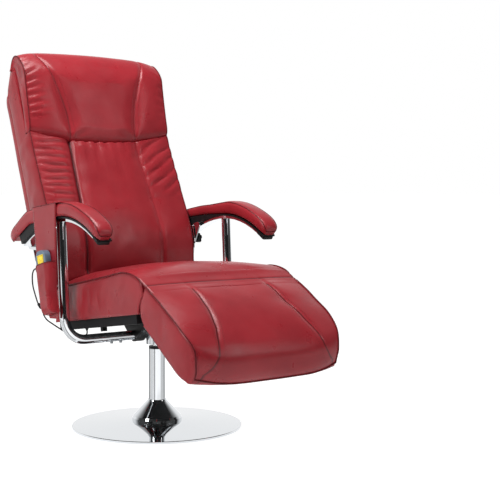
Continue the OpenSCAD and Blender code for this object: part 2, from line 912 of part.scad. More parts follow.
// Padded panel behind the board; its upper end leans forward
module rear_cover() {
    wall = 4;
    hw = back_hw - 2;
    low = 30;
    color(red)
        on_back()
            difference() {
                along_x(-hw, hw)
                    polygon([[-board_n, low], [-rear_cover_n, low], [-rear_cover_n, board_s - 50],
                        [-rear_cover_n - 1, board_s - 2], [30, board_s + 14], [-board_n, board_s + 18]]);
                translate([-hw + wall, -board_n - 1, low - 1])
                    cube([2 * (hw - wall), board_t + 1.1, board_s - low + 0.2]);
                translate([-hw + wall, -board_n - 1, low - 1])
                    cube([2 * (hw - wall), board_n - rear_cover_n - wall + 1, board_s - 3 - low]);
                both_sides()
                    translate([hw - wall - 1, -board_n - 1, pivot_s - 60])
                        cube([wall + 2, 17, 90]);
            }
}

// Slotted plates on the backrest, with a flange behind its board
module quadrants() {
    from = clamp_angle - recline_down;
    to = clamp_angle + recline_up;
    color(chrome)
        both_sides() {
            difference() {
                along_x(quadrant_x, quadrant_x + quadrant_t)
                    union() {
                        hull()
                            for (a = [from - 8, clamp_angle, to + 8])
                                translate([pivot_y - (slot_r + 2) * cos(a), pivot_z + (slot_r + 2) * sin(a)])
                                    circle(r = 13, $fn = 32);
                        hull() {
                            translate([pivot_y, pivot_z])
                                circle(r = 17, $fn = 32);
                            translate([pivot_y - slot_r + 10, pivot_z - 8])
                                circle(r = 24, $fn = 32);
                        }
                    }
                translate([quadrant_x - 1, pivot_y, pivot_z])
                    rotate([0, 90, 0])
                        cylinder(d = 12 + 2 * fit, h = quadrant_t + 2);
                translate([quadrant_x - 1, pivot_y, pivot_z])
                    rotate([0, 90, 0])
                        rotate([0, 0, 270 - to])
                            arc_slot(slot_r, clamp_d + 0.6, to - from, quadrant_t + 2);
            }
            on_back() {
                translate([150, -back_board_n, pivot_s - 50])
                    cube([quadrant_x + quadrant_t - 150, 3, 70]);
            }
        }
}

// Slot with round ends: from 0 to the given angle about Z
module arc_slot(r, w, angle, h) {
    rotate_extrude(angle = angle)
        translate([r - w / 2, 0])
            square([w, h]);
    for (a = [0, angle])
        rotate(a)
            translate([r, 0, 0])
                cylinder(d = w, h = h);
}

// Lobed knob on its threaded bolt, with a round head inside the quadrant
module recline_knob() {
    translate([0, clamp_y, clamp_z])
        rotate([0, 90, 0]) {
            color(steel) {
                translate([0, 0, nut_x])
                    cylinder(d = clamp_d + 7, h = nut_t);
                translate([0, 0, nut_x])
                    cylinder(d = clamp_d, h = bracket_x + bracket_t - nut_x + 2);
            }
            color(black)
                translate([0, 0, bracket_x + bracket_t + 0.1])
                    difference() {
                        union() {
                            cylinder(d = 19, h = 9);
                            translate([0, 0, 8])
                                cylinder(d = 30, h = 13);
                        }
                        for (a = [0:72:288])
                            rotate(a)
                                translate([19.5, 0, 7])
                                    cylinder(d = 15, h = 15);
                    }
        }
}

module left_recline_knob() {
    mirror([1, 0, 0])
        recline_knob();
}

module right_recline_knob() {
    recline_knob();
}

// ---------- electrics under the seat ----------

box_x = 31 - seat_hw;
gland_x = box_x + 24;
box_w = 110;
box_y = 10;
box_l = 70;
inlet_d = 5.8;
inlet_l = 9;
inlet_x = box_x + 90;
inlet_y = box_y + box_l - 10;      // rear face of the socket, open to the rear
inlet_z = -7;
socket_w = 14;

module control_box() {
    color(black) {
        on_seat()
            difference() {
                translate([box_x + 6, box_y, 3])
                    cube([box_w, box_l, rail_h - 3]);
                translate([box_x + 9, box_y + 3, 6])
                    cube([box_w - 6, box_l - 6, rail_h - 9]);
            }
        on_seat()
            difference() {
                translate([inlet_x - socket_w / 2, inlet_y - socket_w, inlet_z - 6])
                    cube([socket_w, socket_w, 3 - (inlet_z - 6) + eps]);
                translate([inlet_x, inlet_y - inlet_l, inlet_z])
                    rotate([-90, 0, 0])
                        cylinder(d = inlet_d, h = inlet_l + 1);
            }
    }
}

// Where the remote hangs in its pocket
pouch_in = pad_x + arm_w + 0.6;    // inner face of the pouch's hanging panel
pouch_wall = 2.5;
pocket_w = remote_head_w + 6;
pocket_deep = 36;                  // below the remote's foot
pocket_mouth = 32;                 // above the remote's middle
remote_gap = 2;
remote_x = -(pouch_in + pouch_wall + 0.2 + remote_gap + remote_t / 2);
remote_y = 75.4;
remote_z = 447;

// The cords' routes, from the remote to the connector and from there to the box
cord_a = [for (p = [[0, 56.9, 368.7], [0, 55.6, 363.3], [0, 57.7, 354.6], [0, 66.5, 348.4], [0, 77.2, 350],
    [0, 83, 358], [0, 86, 370], [0, 89, 382.2], [0, 92.5, 397], [0, 95.7, 411.4], [0, 98.7, 424],
    [0, 102, 437], [0, 106, 448.5], [0, 112.5, 457], [0, 121, 461.5], [0, 131, 462.5], [0.4, 140, 459],
    [0.9, 146.5, 451], [0.9, 149.5, 440], [0.9, 149, 425], [0.4, 146, 410], [0, 139.5, 397], [0, 130.5, 383],
    [0, 120.2, 368.8], [0, 117, 366.5]])
    [remote_x - p[0], p[1], p[2]]];
cord_b = [for (p = [[0, 99, 353.5], [0.002, 95.8, 351.2], [0.008, 92.3, 346], [0.014, 90.5, 337.5],
    [0.034, 85.5, 328.5], [0.067, 77, 320.5], [0.122, 68, 313.5], [0.2, 62, 305.5], [0.294, 59.5, 297],
    [0.404, 60, 288], [0.529, 62, 280], [0.671, 65, 274], [0.804, 67.5, 270.5], [0.898, 68.6, 270],
    [0.955, 69.1, 272.2], [0.989, 69.4, 276], [0.998, 69.8, 280], [1, 70.6, 285]])
    [mix(remote_x + 1.1, gland_x, p[0]), p[1], p[2]]];

module remote_cord() {
    color(black)
        swept(cord_a, cord_d / 2);
}

module supply_cord() {
    color(black)
        swept(cord_b, cord_d / 2);
}

// Points a part that lies along Z from a to b
module along(a, b) {
    d = b - a;
    translate(a)
        rotate([0, acos(d[2] / norm(d)), atan2(d[1], d[0])])
            children();
}

module cord_connector() {
    a = cord_a[len(cord_a) - 1];
    b = cord_b[0];
    long = norm(b - a);
    color(black)
        along(a, b) {
            cylinder(d1 = cord_d + 1, d2 = 9, h = 4);
            translate([0, 0, 4])
                cylinder(d = 9, h = long - 8);
            translate([0, 0, long - 4])
                cylinder(d1 = 9, d2 = cord_d + 1, h = 4);
        }
}

module cord_gland() {
    e = cord_b[len(cord_b) - 1];
    drop = seat_z0 + (seat_y0 - e[1]) * tan(seat_tilt) - e[2];
    color(black)
        translate(e + [0, 0, 0.2])
            rotate([-seat_tilt, 0, 0]) {
                cylinder(d1 = cord_d + 1, d2 = 9, h = 5);
                translate([0, 0, 5])
                    cylinder(d = 9, h = drop * cos(seat_tilt) - 2.2);
            }
}

// ---------- remote control and its pocket ----------

module pocket() {
    depth = remote_t + 2 * remote_gap;
    foot = -remote_l / 2 - pocket_deep;
    on_remote()
        difference() {
            translate([-depth / 2 - pouch_wall, -pocket_w / 2 - pouch_wall, foot])
                cube([depth + 2 * pouch_wall, pocket_w + 2 * pouch_wall, pocket_mouth - foot]);
            translate([-depth / 2, -pocket_w / 2, foot + pouch_wall])
                cube([depth, pocket_w, pocket_mouth - foot]);
            translate([-depth / 2, pocket_w / 2 - 1, pocket_mouth - 24])
                cube([depth, pouch_wall + 2, 30]);
        }
}

module remote_pouch() {
    lift = function(t) bow_t + liner_at(t) + arm_pad_at(t) + 1;
    lift_mid = function(t) lift(t) + pouch_wall / 2;
    lift_out = function(t) lift(t) + pouch_wall;
    over = [for (i = [0:arm_steps]) let (t = mix(0.34, 0.59, i / arm_steps)) arm_at(t, lift_mid(t))];
    inner = -pad_x + 2.4;
    color(red) {
        along_x(-pouch_in - pouch_wall, -pouch_in)
            polygon(concat(over, [[26, 515], [14, 405], [2, 345], [20, 330],
                [92, 345], [124, 405], [149, 515]]));
        pocket();
        along_x(-pouch_in - pouch_wall + 0.3, inner)
            arm_ribbon(0.33, 0.6, lift, lift_out);
        along_x(inner - 1.7, inner - 0.1)
            polygon(concat(over, [[28, 606], [145, 606]]));
    }
}

// Half width of the remote at a height: the grip widens into the head
function remote_hw(z) = mix(remote_grip_w, remote_head_w, pow(sin(90 * clamp((z - 5) / 40, 0, 1)), 2)) / 2;
corner_r = 20;

module remote_outline(inset) {
    zs = [for (i = [0:12]) mix(-remote_l / 2 + corner_r, remote_l / 2 - corner_r, i / 12)];
    foot = [for (a = [270:15:345]) [remote_grip_w / 2 - corner_r + (corner_r - inset) * cos(a),
        -remote_l / 2 + corner_r + (corner_r - inset) * sin(a)]];
    head = [for (a = [15:15:90]) [remote_head_w / 2 - corner_r + (corner_r - inset) * cos(a),
        remote_l / 2 - corner_r + (corner_r - inset) * sin(a)]];
    right = concat(foot, [for (z = zs) [remote_hw(z) - inset, z]], head);
    polygon(concat(right, [for (i = [len(right) - 1:-1:0]) [-right[i][0], right[i][1]]]));
}

// Slab of the remote's outline between two depths, 0 is the back and remote_t the face
module remote_slab(d0, d1, inset) {
    on_remote()
        translate([remote_t / 2 - d0, 0, 0])
            rotate([90, 0, -90])
                linear_extrude(d1 - d0)
                    remote_outline(inset);
}

split = 9;              // depth of the joint between the shells
face_d = remote_t;
panel_t = 0.8;
button_rise = 1.5;
// Button grid in the remote's face: across and up from its middle
button_cols = [-6.6, 6.6];
button_rows = [0.5, -14.5, -27.5, -39.6];

module remote_back_shell() {
    color("#5a6b7b") {
        difference() {
            remote_slab(0, split, 0);
            remote_slab(remote_wall, split + 1, remote_wall);
        }
        relief_l = 10;
        on_remote()
            translate([0, 0, -remote_l / 2 - relief_l])
                cylinder(d1 = cord_d + 0.5, d2 = 8, h = relief_l);
    }
}

module face_holes(d, d0, d1) {
    on_remote()
        for (c = button_cols, r = button_rows)
            translate([remote_t / 2 - d0, -c, r])
                rotate([0, -90, 0])
                    cylinder(d = d, h = d1 - d0);
}

module remote_front_shell() {
    color("#5a6b7b")
        difference() {
            remote_slab(split, face_d - panel_t, 0);
            remote_slab(split - 1, face_d - remote_wall - panel_t, remote_wall);
            face_holes(button_d + 0.4, split, face_d + 1);
        }
}

module remote_circuit_board() {
    color(board_green)
        remote_slab(11, 12.4, remote_wall);
}

// Lifted colour areas on the face
module remote_display() {
    color("#f5c800")
        on_remote()
            translate([-remote_t / 2 + panel_t, 0, 0])
                rotate([90, 0, -90])
                    linear_extrude(panel_t)
                        translate([-17, 14])
                            square([34, 44]);
}

module remote_panel() {
    color("#2b3aa0")
        difference() {
            on_remote()
                translate([-remote_t / 2 + panel_t, 0, 0])
                    rotate([90, 0, -90])
                        linear_extrude(panel_t)
                            translate([-15, -57])
                                square([30, 69]);
            face_holes(button_d + 0.4, split, face_d + 1);
        }
}

module push_button(col, row, tone) {
    stem = 6;
    color(tone)
        on_remote()
            translate([-remote_t / 2 - button_rise, -button_cols[col], button_rows[row]])
                rotate([0, 90, 0]) {
                    cylinder(d = button_d, h = button_rise + panel_t + remote_wall + 0.6);
                    translate([0, 0, button_rise + panel_t + remote_wall + 0.2])
                        cylinder(d = button_d + 2, h = 1);
                }
}

module button_mode() push_button(0, 0, "white");
module button_power() push_button(1, 0, "#c9252b");
module button_intensity() push_button(0, 1, "white");
module button_heat() push_button(1, 1, "#c9252b");
module button_shoulder() push_button(0, 2, "white");
module button_seat() push_button(1, 2, "white");
module button_back() push_button(0, 3, "white");
module button_leg() push_button(1, 3, "white");

floor_pad();
ballast_plate();
base_cover();
column_tube();
base_bolts();
trumpet_cover();
column_collar();
lower_bearing();
spindle();
hub_housing();
lower_frame_tube();
upper_posts();
arm_bows();
arm_liners();
left_arm_pad();
right_arm_pad();
recline_brackets();
pivot_bolts();
seat_saddles();
frame_bolts();
seat_frame();
seat_board();
seat_cushion();
dust_cover();
legrest_hinges();
legrest_pins();
seat_motors();
control_box();
cord_gland();
remote_pouch();
remote_cord();
cord_connector();
supply_cord();
back_board();
back_cushion();
head_cushion();
rear_cover();
quadrants();
back_motors();
heating_pad();
left_recline_knob();
right_recline_knob();
legrest_board();
legrest_tongues();
legrest_cushion();
legrest_motors();
legrest_pan();
remote_back_shell();
remote_front_shell();
remote_circuit_board();
remote_display();
remote_panel();
button_mode();
button_power();
button_intensity();
button_heat();
button_shoulder();
button_seat();
button_back();
button_leg();
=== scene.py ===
# %% [markdown]
# # A reclining massage chair
# The hard parts of this chair, its joints and its sizes come ready made, as a fixed frame of named
# nodes. This script dresses that frame. It gives each hard part its finish, and it makes the soft
# parts again as upholstery: crowned panels, pleats, piping, stitches and a slack pocket.
# Everything is in metres inside Blender, and this script writes millimetres times MM.

# %% Load the fixed frame
import math
import bmesh
import bpy
import numpy as np
from mathutils import Matrix, Vector, noise


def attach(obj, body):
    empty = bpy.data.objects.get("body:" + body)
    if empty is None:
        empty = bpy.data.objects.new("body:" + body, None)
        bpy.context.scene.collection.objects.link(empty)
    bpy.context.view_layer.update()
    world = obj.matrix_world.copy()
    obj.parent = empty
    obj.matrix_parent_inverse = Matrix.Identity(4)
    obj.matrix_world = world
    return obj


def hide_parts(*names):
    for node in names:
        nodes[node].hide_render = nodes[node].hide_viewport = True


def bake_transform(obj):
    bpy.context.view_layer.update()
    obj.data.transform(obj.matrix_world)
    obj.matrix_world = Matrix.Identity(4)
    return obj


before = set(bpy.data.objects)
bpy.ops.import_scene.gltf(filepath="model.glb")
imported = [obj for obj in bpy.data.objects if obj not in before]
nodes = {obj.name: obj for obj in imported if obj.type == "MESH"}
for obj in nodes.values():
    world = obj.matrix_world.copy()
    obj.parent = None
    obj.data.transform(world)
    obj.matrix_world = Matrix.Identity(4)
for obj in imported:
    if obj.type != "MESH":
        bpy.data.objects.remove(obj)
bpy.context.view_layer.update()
MM = 0.001

# %% [markdown]
# ## The camera
# A product shot is taken from a few metres away with a longish lens, so that the near arm does not
# look much bigger than the far one. The camera stands at the sitter's right, a little above the
# seat, and looks down by about three degrees.

# %% Camera
right = Vector((0.79122257, -0.6115167, 0.00376419))
up = Vector((0.03212281, 0.04770803, 0.99834466))
back = right.cross(up)
camera = bpy.data.objects.new("camera", bpy.data.cameras.new("camera"))
camera.data.lens = 82.708
camera.data.sensor_width = 36
camera.matrix_world = Matrix((
    (right.x, up.x, back.x, -1.80837),
    (right.y, up.y, back.y, -2.77716),
    (right.z, up.z, back.z, 0.70226),
    (0, 0, 0, 1)))
bpy.context.scene.collection.objects.link(camera)
bpy.context.scene.camera = camera
bpy.context.scene.view_settings.view_transform = "Standard"
print("camera at", [round(v, 3) for v in camera.location])

# %% [markdown]
# ## Smooth lines and skins
# Nearly every soft form here starts from a few measured points. A centripetal Catmull-Rom curve
# runs through them without overshooting where they are unevenly spaced. A skin is then a grid of
# quads through rings of such points, which keeps its lines along the seams, so that a seam can be
# drawn in, held or followed later.

# %% Curves through points, and skins through rings
def through(points, step):
    """Points about a step apart on a smooth curve through the given ones."""
    p = np.array(points, float)
    ends = np.vstack([2 * p[0] - p[1], p, 2 * p[-1] - p[-2]])
    out = []
    for a, b, c, d in zip(ends, ends[1:], ends[2:], ends[3:]):
        t1 = max(np.linalg.norm(b - a), 1e-9) ** 0.5
        t2 = t1 + max(np.linalg.norm(c - b), 1e-9) ** 0.5
        t3 = t2 + max(np.linalg.norm(d - c), 1e-9) ** 0.5
        count = max(1, round(np.linalg.norm(c - b) / step))
        for t in t1 + (t2 - t1) * np.arange(count) / count:
            ab = a + (b - a) * t / t1
            bc = b + (c - b) * (t - t1) / (t2 - t1)
            cd = c + (d - c) * (t - t2) / (t3 - t2)
            abc = ab + (bc - ab) * t / t2
            bcd = bc + (cd - bc) * (t - t1) / (t3 - t1)
            out.append(abc + (bcd - abc) * (t - t1) / (t2 - t1))
    return np.array(out + [p[-1]])


def run_of(points):
    """Distance along a line from its start to each of its points."""
    steps = np.linalg.norm(np.diff(np.array(points, float), axis=0), axis=1)
    return np.concatenate([[0], np.cumsum(steps)])


def spread(points, count):
    """The same line with a given number of evenly spaced points."""
    p = np.array(points, float)
    run = run_of(p)
    want = np.linspace(0, run[-1], count)
    return np.stack([np.interp(want, run, p[:, i]) for i in range(p.shape[1])], axis=1)


def length_of(points):
    """Length of a line of points."""
    return float(np.linalg.norm(np.diff(np.array(points, float), axis=0), axis=1).sum())


def ramp(value, low, high):
    """0 below low, 1 above high and a soft step between them."""
    t = np.clip((value - low) / (high - low), 0, 1)
    return t * t * (3 - 2 * t)


def piece(name, mesh, material=None):
    """Puts a mesh into the scene as a named piece with smooth faces."""
    obj = bpy.data.objects.new(name, mesh)
    bpy.context.scene.collection.objects.link(obj)
    mesh.polygons.foreach_set("use_smooth", [True] * len(mesh.polygons))
    if material:
        mesh.materials.append(material)
    return obj


def skin(name, rings, seam=None, round_about=True, ends=False):
    """A mesh through rings of points in millimetres; seam is each point's painted shade, 0 to 1."""
    rings = np.array(rings, float)
    count, size = rings.shape[:2]
    across = np.arange(size if round_about else size - 1)
    faces = [(i * size + j, i * size + (j + 1) % size,
        (i + 1) * size + (j + 1) % size, (i + 1) * size + j)
        for i in range(count - 1) for j in across]
    if ends:
        faces += [tuple(range(size))[::-1], tuple(range((count - 1) * size, count * size))]
    mesh = bpy.data.meshes.new(name)
    mesh.from_pydata((rings.reshape(-1, 3) * MM).tolist(), [], faces)
    marks = mesh.attributes.new("seam", "FLOAT", "POINT")
    if seam is not None:
        marks.data.foreach_set("value", np.array(seam, np.float32).ravel())
    work = bmesh.new()
    work.from_mesh(mesh)
    bmesh.ops.remove_doubles(work, verts=work.verts, dist=0.02 * MM)
    bmesh.ops.dissolve_degenerate(work, edges=work.edges, dist=0.01 * MM)
    bmesh.ops.recalc_face_normals(work, faces=work.faces)
    work.to_mesh(mesh)
    work.free()
    return mesh


def tilted(points, origin, angle):
    """Points (x, a, b) of a frame set at the origin and tilted about X, in the chair's frame."""
    x, a, b = np.moveaxis(np.array(points, float), -1, 0)
    y = origin[1] + a * math.cos(angle) + b * math.sin(angle)
    z = origin[2] - a * math.sin(angle) + b * math.cos(angle)
    return np.stack([origin[0] + x, y, z], axis=-1)


def thicken(sheet, thickness, offset=0):
    """Gives a thin sheet its thickness in millimetres; offset -1 keeps the drawn side outside."""
    solid = sheet.modifiers.new("thickness", "SOLIDIFY")
    solid.thickness = thickness * MM
    solid.offset = offset


def tube(name, route, radius, sides=8, loop=False):
    """A round tube along points in millimetres, closed at its ends or into a loop."""
    p = np.array(route, float)
    turn = np.gradient(p, axis=0)
    if loop:
        turn = np.roll(p, -1, axis=0) - np.roll(p, 1, axis=0)
    turn /= np.linalg.norm(turn, axis=1)[:, None]
    side = np.array([0.21, 0.9, 0.4])
    rings = []
    for i in range(len(p)):
        side = side - turn[i] * side.dot(turn[i])
        side /= np.linalg.norm(side)
        other = np.cross(turn[i], side)
        angles = np.arange(sides) * 2 * math.pi / sides
        spoke = np.outer(np.cos(angles), side) + np.outer(np.sin(angles), other)
        rings.append(p[i] + radius * spoke)
    if loop:
        rings.append(rings[0])
    return skin(name, rings, ends=not loop)


print("a test line is", round(length_of(through([(0, 0), (50, 20), (100, 0)], 2)), 1), "mm long")

# %% [markdown]
# ## The cords
# A thin black rubber cord leads to the hand control. It leaves the foot of the control inside the
# pocket, turns up beside it and falls outside in one slack loop to an inline connector. From
# there a second cord crosses under the seat to the control box. Both cords are tubes along the
# very route that the solid model gives them.

# %% The hand control's two cords
cord_d = 4.0
handset_x = -319.1     # the hand control's middle, at the sitter's right
gland_x = -190.0
handset_route = [(handset_x - out, y, z) for out, y, z in (
    (0, 56.9, 368.7), (0, 55.6, 363.3), (0, 57.7, 354.6), (0, 66.5, 348.4), (0, 77.2, 350),
    (0, 83, 358), (0, 86, 370), (0, 89, 382.2), (0, 92.5, 397), (0, 95.7, 411.4),
    (0, 98.7, 424), (0, 102, 437),
    (0, 106, 448.5), (0, 112.5, 457), (0, 121, 461.5), (0, 131, 462.5), (0.4, 140, 459),
    (0.9, 146.5, 451), (0.9, 149.5, 440), (0.9, 149, 425), (0.4, 146, 410), (0, 139.5, 397),
    (0, 130.5, 383), (0, 120.2, 368.8), (0, 117, 366.5))]
supply_route = [(handset_x + 1.1 + share * (gland_x - handset_x - 1.1), y, z) for share, y, z in (
    (0, 99, 353.5), (0.002, 95.8, 351.2), (0.008, 92.3, 346), (0.014, 90.5, 337.5),
    (0.034, 85.5, 328.5), (0.067, 77, 320.5), (0.122, 68, 313.5), (0.2, 62, 305.5),
    (0.294, 59.5, 297), (0.404, 60, 288), (0.529, 62, 280), (0.671, 65, 274),
    (0.804, 67.5, 270.5), (0.898, 68.6, 270), (0.955, 69.1, 272.2), (0.989, 69.4, 276),
    (0.998, 69.8, 280), (1, 70.6, 285))]


def make_cord(name, route):
    """A tube along the route, and the route in metres that its length is measured on."""
    line = through(route, 2.5)
    return piece(name, tube(name, line, cord_d / 2, sides=12)), line * MM


handset_cord, handset_line = make_cord("handset_cord", handset_route)
supply_cord, supply_line = make_cord("supply_lead", supply_route)
print("cords of", round(length_of(handset_line), 3), "and", round(length_of(supply_line), 3), "m")

# %% [markdown]
# ## Colours and shader nodes
# Colours are written as sRGB hex values, as a paint chart gives them. A shader works in linear
# light, so one function turns them. Another adds a node, sets it up and links it, so that a whole
# material reads as a short list.

# %% Two small helpers for materials
def tint(code):
    """An sRGB hex value as the linear colour that a socket takes."""
    parts = [int(code[i:i + 2], 16) / 255 for i in (0, 2, 4)]
    return (*[c / 12.92 if c <= 0.04045 else ((c + 0.055) / 1.055) ** 2.4 for c in parts], 1.0)


def add(tree, kind, inputs=None, **settings):
    """Adds a node with its settings; inputs holds values, sockets or nodes by name or number."""
    made = tree.nodes.new(kind)
    for key, value in settings.items():
        setattr(made, key, value)
    for key, value in (inputs or {}).items():
        if isinstance(value, bpy.types.Node):
            value = value.outputs[0]
        if isinstance(value, bpy.types.NodeSocket):
            tree.links.new(value, made.inputs[key])
        else:
            made.inputs[key].default_value = value
    return made


def finish_of(name, colour, metallic=0.0, roughness=0.5, **sockets):
    """A new material: its own values are set on the shader, and the parts to link are returned."""
    material = bpy.data.materials.new(name)
    material.use_nodes = True
    tree = material.node_tree
    shader = tree.nodes["Principled BSDF"]
    shader.inputs["Base Color"].default_value = tint(colour)
    shader.inputs["Metallic"].default_value = metallic
    shader.inputs["Roughness"].default_value = roughness
    for key, value in sockets.items():
        shader.inputs[key.replace("_", " ")].default_value = value
    return material, tree, shader, add(tree, "ShaderNodeTexCoord").outputs["Object"]


def blend_colours(tree, share, low, high):
    """The colour between two, by a share from 0 to 1."""
    mixed = add(tree, "ShaderNodeMix", {0: share}, data_type="RGBA")
    for socket, value in ((6, low), (7, high)):
        if isinstance(value, str):
            mixed.inputs[socket].default_value = tint(value)
        else:
            tree.links.new(value, mixed.inputs[socket])
    return mixed.outputs[2]


def relief(tree, shader, height, strength, depth):
    """Links a bump of this depth in millimetres to the shader."""
    bump = add(tree, "ShaderNodeBump",
        {"Height": height, "Strength": strength, "Distance": depth * MM})
    tree.links.new(bump.outputs[0], shader.inputs["Normal"])


def dim(material, specular):
    """Lowers how strongly a finish mirrors its surroundings."""
    shader = material.node_tree.nodes["Principled BSDF"]
    shader.inputs["Specular IOR Level"].default_value = specular


def mottle(tree, where, scale, detail, **more):
    """Noise over the surface, at so many patches to the metre."""
    inputs = {"Vector": where, "Scale": scale, "Detail": detail, **more}
    return add(tree, "ShaderNodeTexNoise", inputs)


def stretch(tree, value, low, high, to_low=0.0, to_high=1.0):
    """The value carried from one range to another."""
    ends = {0: value, 1: low, 2: high, 3: to_low, 4: to_high}
    return add(tree, "ShaderNodeMapRange", ends).outputs[0]


print("a mid grey is", round(tint("808080")[0], 3), "in linear light")

# %% [markdown]
# ## Coated leather
# The cover is PU-coated cloth, the usual cover of a chair of this kind: a smooth, slightly shiny
# skin with a pressed grain. Two sizes of bump make it. The grain is about 1.5 mm across, and slow
# creases of a few centimetres break the highlights up. Along a seam the skin is pinched, and a mark
# on the mesh, called seam, darkens it there with painted shade.

# %% Red coated leather
def coated_leather(name, main, worn, deep, grain=1.5, crease=0.8):
    """Pressed-grain coated cloth; deep is the painted shade colour down in the seams."""
    material, tree, shader, where = finish_of(name, main, roughness=0.36, Specular_IOR_Level=0.36)
    cloud = mottle(tree, where, 9.0, 4.0, Roughness=0.55)
    tone = blend_colours(tree, stretch(tree, cloud, 0.35, 0.7), main, worn)
    # The seam mark blends in the deep colour as painted shade.
    seam = add(tree, "ShaderNodeAttribute", attribute_name="seam").outputs["Fac"]
    colour = blend_colours(tree, stretch(tree, seam, 0.15, 0.95, 0.0, 0.85), tone, deep)
    tree.links.new(colour, shader.inputs["Base Color"])
    gloss = stretch(tree, mottle(tree, where, 22.0, 2.0), 0.3, 0.7, 0.27, 0.37)
    tree.links.new(gloss, shader.inputs["Roughness"])
    slow = mottle(tree, where, 26.0, 2.0, Roughness=0.4)
    cells = add(tree, "ShaderNodeTexVoronoi", {"Vector": where, "Scale": 1000.0 / grain})
    folds = add(tree, "ShaderNodeBump", {"Height": slow, "Strength": 0.35, "Distance": crease * MM})
    fine = add(tree, "ShaderNodeBump",
        {"Height": cells, "Normal": folds, "Strength": 0.3, "Distance": 0.12 * MM})
    tree.links.new(fine.outputs[0], shader.inputs["Normal"])
    return material


red_leather = coated_leather("red_coated_leather", "9A262E", "8C2028", "2A070A")
# The piping is a darker copy of the same leather: its darker red is painted shade along the seams.
shaded_piping_leather = coated_leather("red_piping_leather_painted_shade", "67191F", "5C161B", "2E080B", crease=0.2)
dim(shaded_piping_leather, 0.15)
print("leather in", red_leather.name, "and its piping in", shaded_piping_leather.name)

# %% [markdown]
# ## Chrome, zinc and black steel
# Chrome plate shows the room and hardly itself, so it needs a very low roughness and something to
# mirror. Zinc plate is duller and slightly blue. The saddles under the seat are powder coated,
# which leaves a fine orange-peel skin.

# %% Metals
def plated(name, colour, low, high, ripple):
    """Bright or dull plate: metallic, with roughness that wanders a little and a faint ripple."""
    material, tree, shader, where = finish_of(name, colour, metallic=1.0, roughness=low)
    smear = mottle(tree, where, 14.0, 3.0)
    tree.links.new(stretch(tree, smear, 0.3, 0.7, low, high), shader.inputs["Roughness"])
    relief(tree, shader, mottle(tree, where, 60.0, 1.0), 0.15, ripple)
    return material


chrome = plated("polished_chrome_plate", "DDE0E3", 0.03, 0.07, 0.05)
zinc = plated("zinc_plated_steel", "A4A8AC", 0.28, 0.42, 0.15)
black_steel, tree, shader, where = finish_of("black_powder_coat", "141415", roughness=0.45)
relief(tree, shader, mottle(tree, where, 900.0, 1.0), 0.3, 0.1)
print("metals:", chrome.name, zinc.name, black_steel.name)

# %% [markdown]
# ## Plastics, rubber, timber and cloth
# Moulded ABS has a spark-eroded texture that scatters the light. Printed film is glossy and flat.
# Rubber is dull. The seat board is plywood with long grain, and its frame is stained black. A thin
# woven cloth closes the seat's underside.

# %% Moulded, printed, turned and woven finishes
def moulded(name, colour, worn, roughness, grain, depth):
    """Moulded plastic or rubber: an even colour with a fine pressed texture."""
    material, tree, shader, where = finish_of(name, colour, roughness=roughness)
    cloud = mottle(tree, where, 40.0, 2.0)
    tree.links.new(blend_colours(tree, stretch(tree, cloud, 0.35, 0.65), colour, worn),
        shader.inputs["Base Color"])
    relief(tree, shader, mottle(tree, where, 1000.0 / grain, 2.0), 0.4, depth)
    return material


def timber(name, early, late, ring):
    """Sawn wood or ply: long grain along X with rings that wander."""
    material, tree, shader, where = finish_of(name, early, roughness=0.6)
    lie = add(tree, "ShaderNodeMapping",
        {"Vector": where, "Scale": (4.0, 1000 / ring, 1000 / ring)})
    grain = mottle(tree, lie, 1.0, 4.0, Distortion=0.4)
    tree.links.new(blend_colours(tree, stretch(tree, grain, 0.35, 0.65), early, late),
        shader.inputs["Base Color"])
    relief(tree, shader, grain, 0.25, 0.3)
    return material


def woven(name, colour, lit, pitch):
    """Plain cloth: two sets of threads cross at the pitch; the high ones get a painted highlight.
    """
    material, tree, shader, where = finish_of(name, colour, roughness=0.9, Sheen_Weight=0.2)
    warp, weft = [add(tree, "ShaderNodeTexWave", {"Vector": where, "Scale": 159.0 / pitch},
        bands_direction=way).outputs["Fac"] for way in "XY"]
    high = add(tree, "ShaderNodeMath", {0: warp, 1: weft}, operation="MULTIPLY")
    # The raised crossings take the lit colour, a painted highlight.
    tree.links.new(blend_colours(tree, high.outputs[0], colour, lit), shader.inputs["Base Color"])
    relief(tree, shader, high, 0.5, 0.2)
    return material


black_plastic = moulded("black_moulded_plastic", "161617", "1C1C1D", 0.5, 0.9, 0.08)
grey_abs = moulded("grey_moulded_abs", "66788C", "607286", 0.38, 0.8, 0.05)
motor_grey = moulded("motor_case_plastic", "4A4A4E", "434347", 0.5, 1.2, 0.1)
cord_rubber = moulded("black_cord_rubber", "121213", "19191A", 0.55, 0.7, 0.06)
dim(black_plastic, 0.22)
floor_rubber = moulded("black_floor_rubber", "101010", "171717", 0.75, 1.4, 0.2)
yellow_film = moulded("yellow_printed_film", "FFDC0A", "FBD500", 0.25, 2.5, 0.02)
blue_film = moulded("blue_printed_film", "2B3AA0", "28369A", 0.25, 2.5, 0.02)
white_key = moulded("white_moulded_key", "E9E8E2", "E2E1DA", 0.35, 1.5, 0.03)
red_key = moulded("red_moulded_key", "C9252B", "BF2026", 0.35, 1.5, 0.03)
heater_film = moulded("heater_foil", "C9C4B2", "BEB9A8", 0.4, 3.0, 0.1)
board_green = moulded("green_circuit_board", "2A6440", "25583A", 0.45, 1.5, 0.05)
plywood = timber("sanded_plywood", "C4A273", "A98453", 2.2)
black_timber = timber("black_stained_timber", "17171A", "0F0F11", 2.2)
dim(black_timber, 0.2)
dust_cloth = woven("black_dust_cloth", "0C0C0D", "1D1D1F", 1.2)
sewing = woven("dark_red_sewing_thread", "6B181D", "7E2329", 0.6)
print("made", len(bpy.data.materials), "finishes")

# %% [markdown]
# ## The hard parts
# A part whose solid has the right shape keeps it, and only gets its finish. The list goes from
# finish to finish and names the parts that wear each.

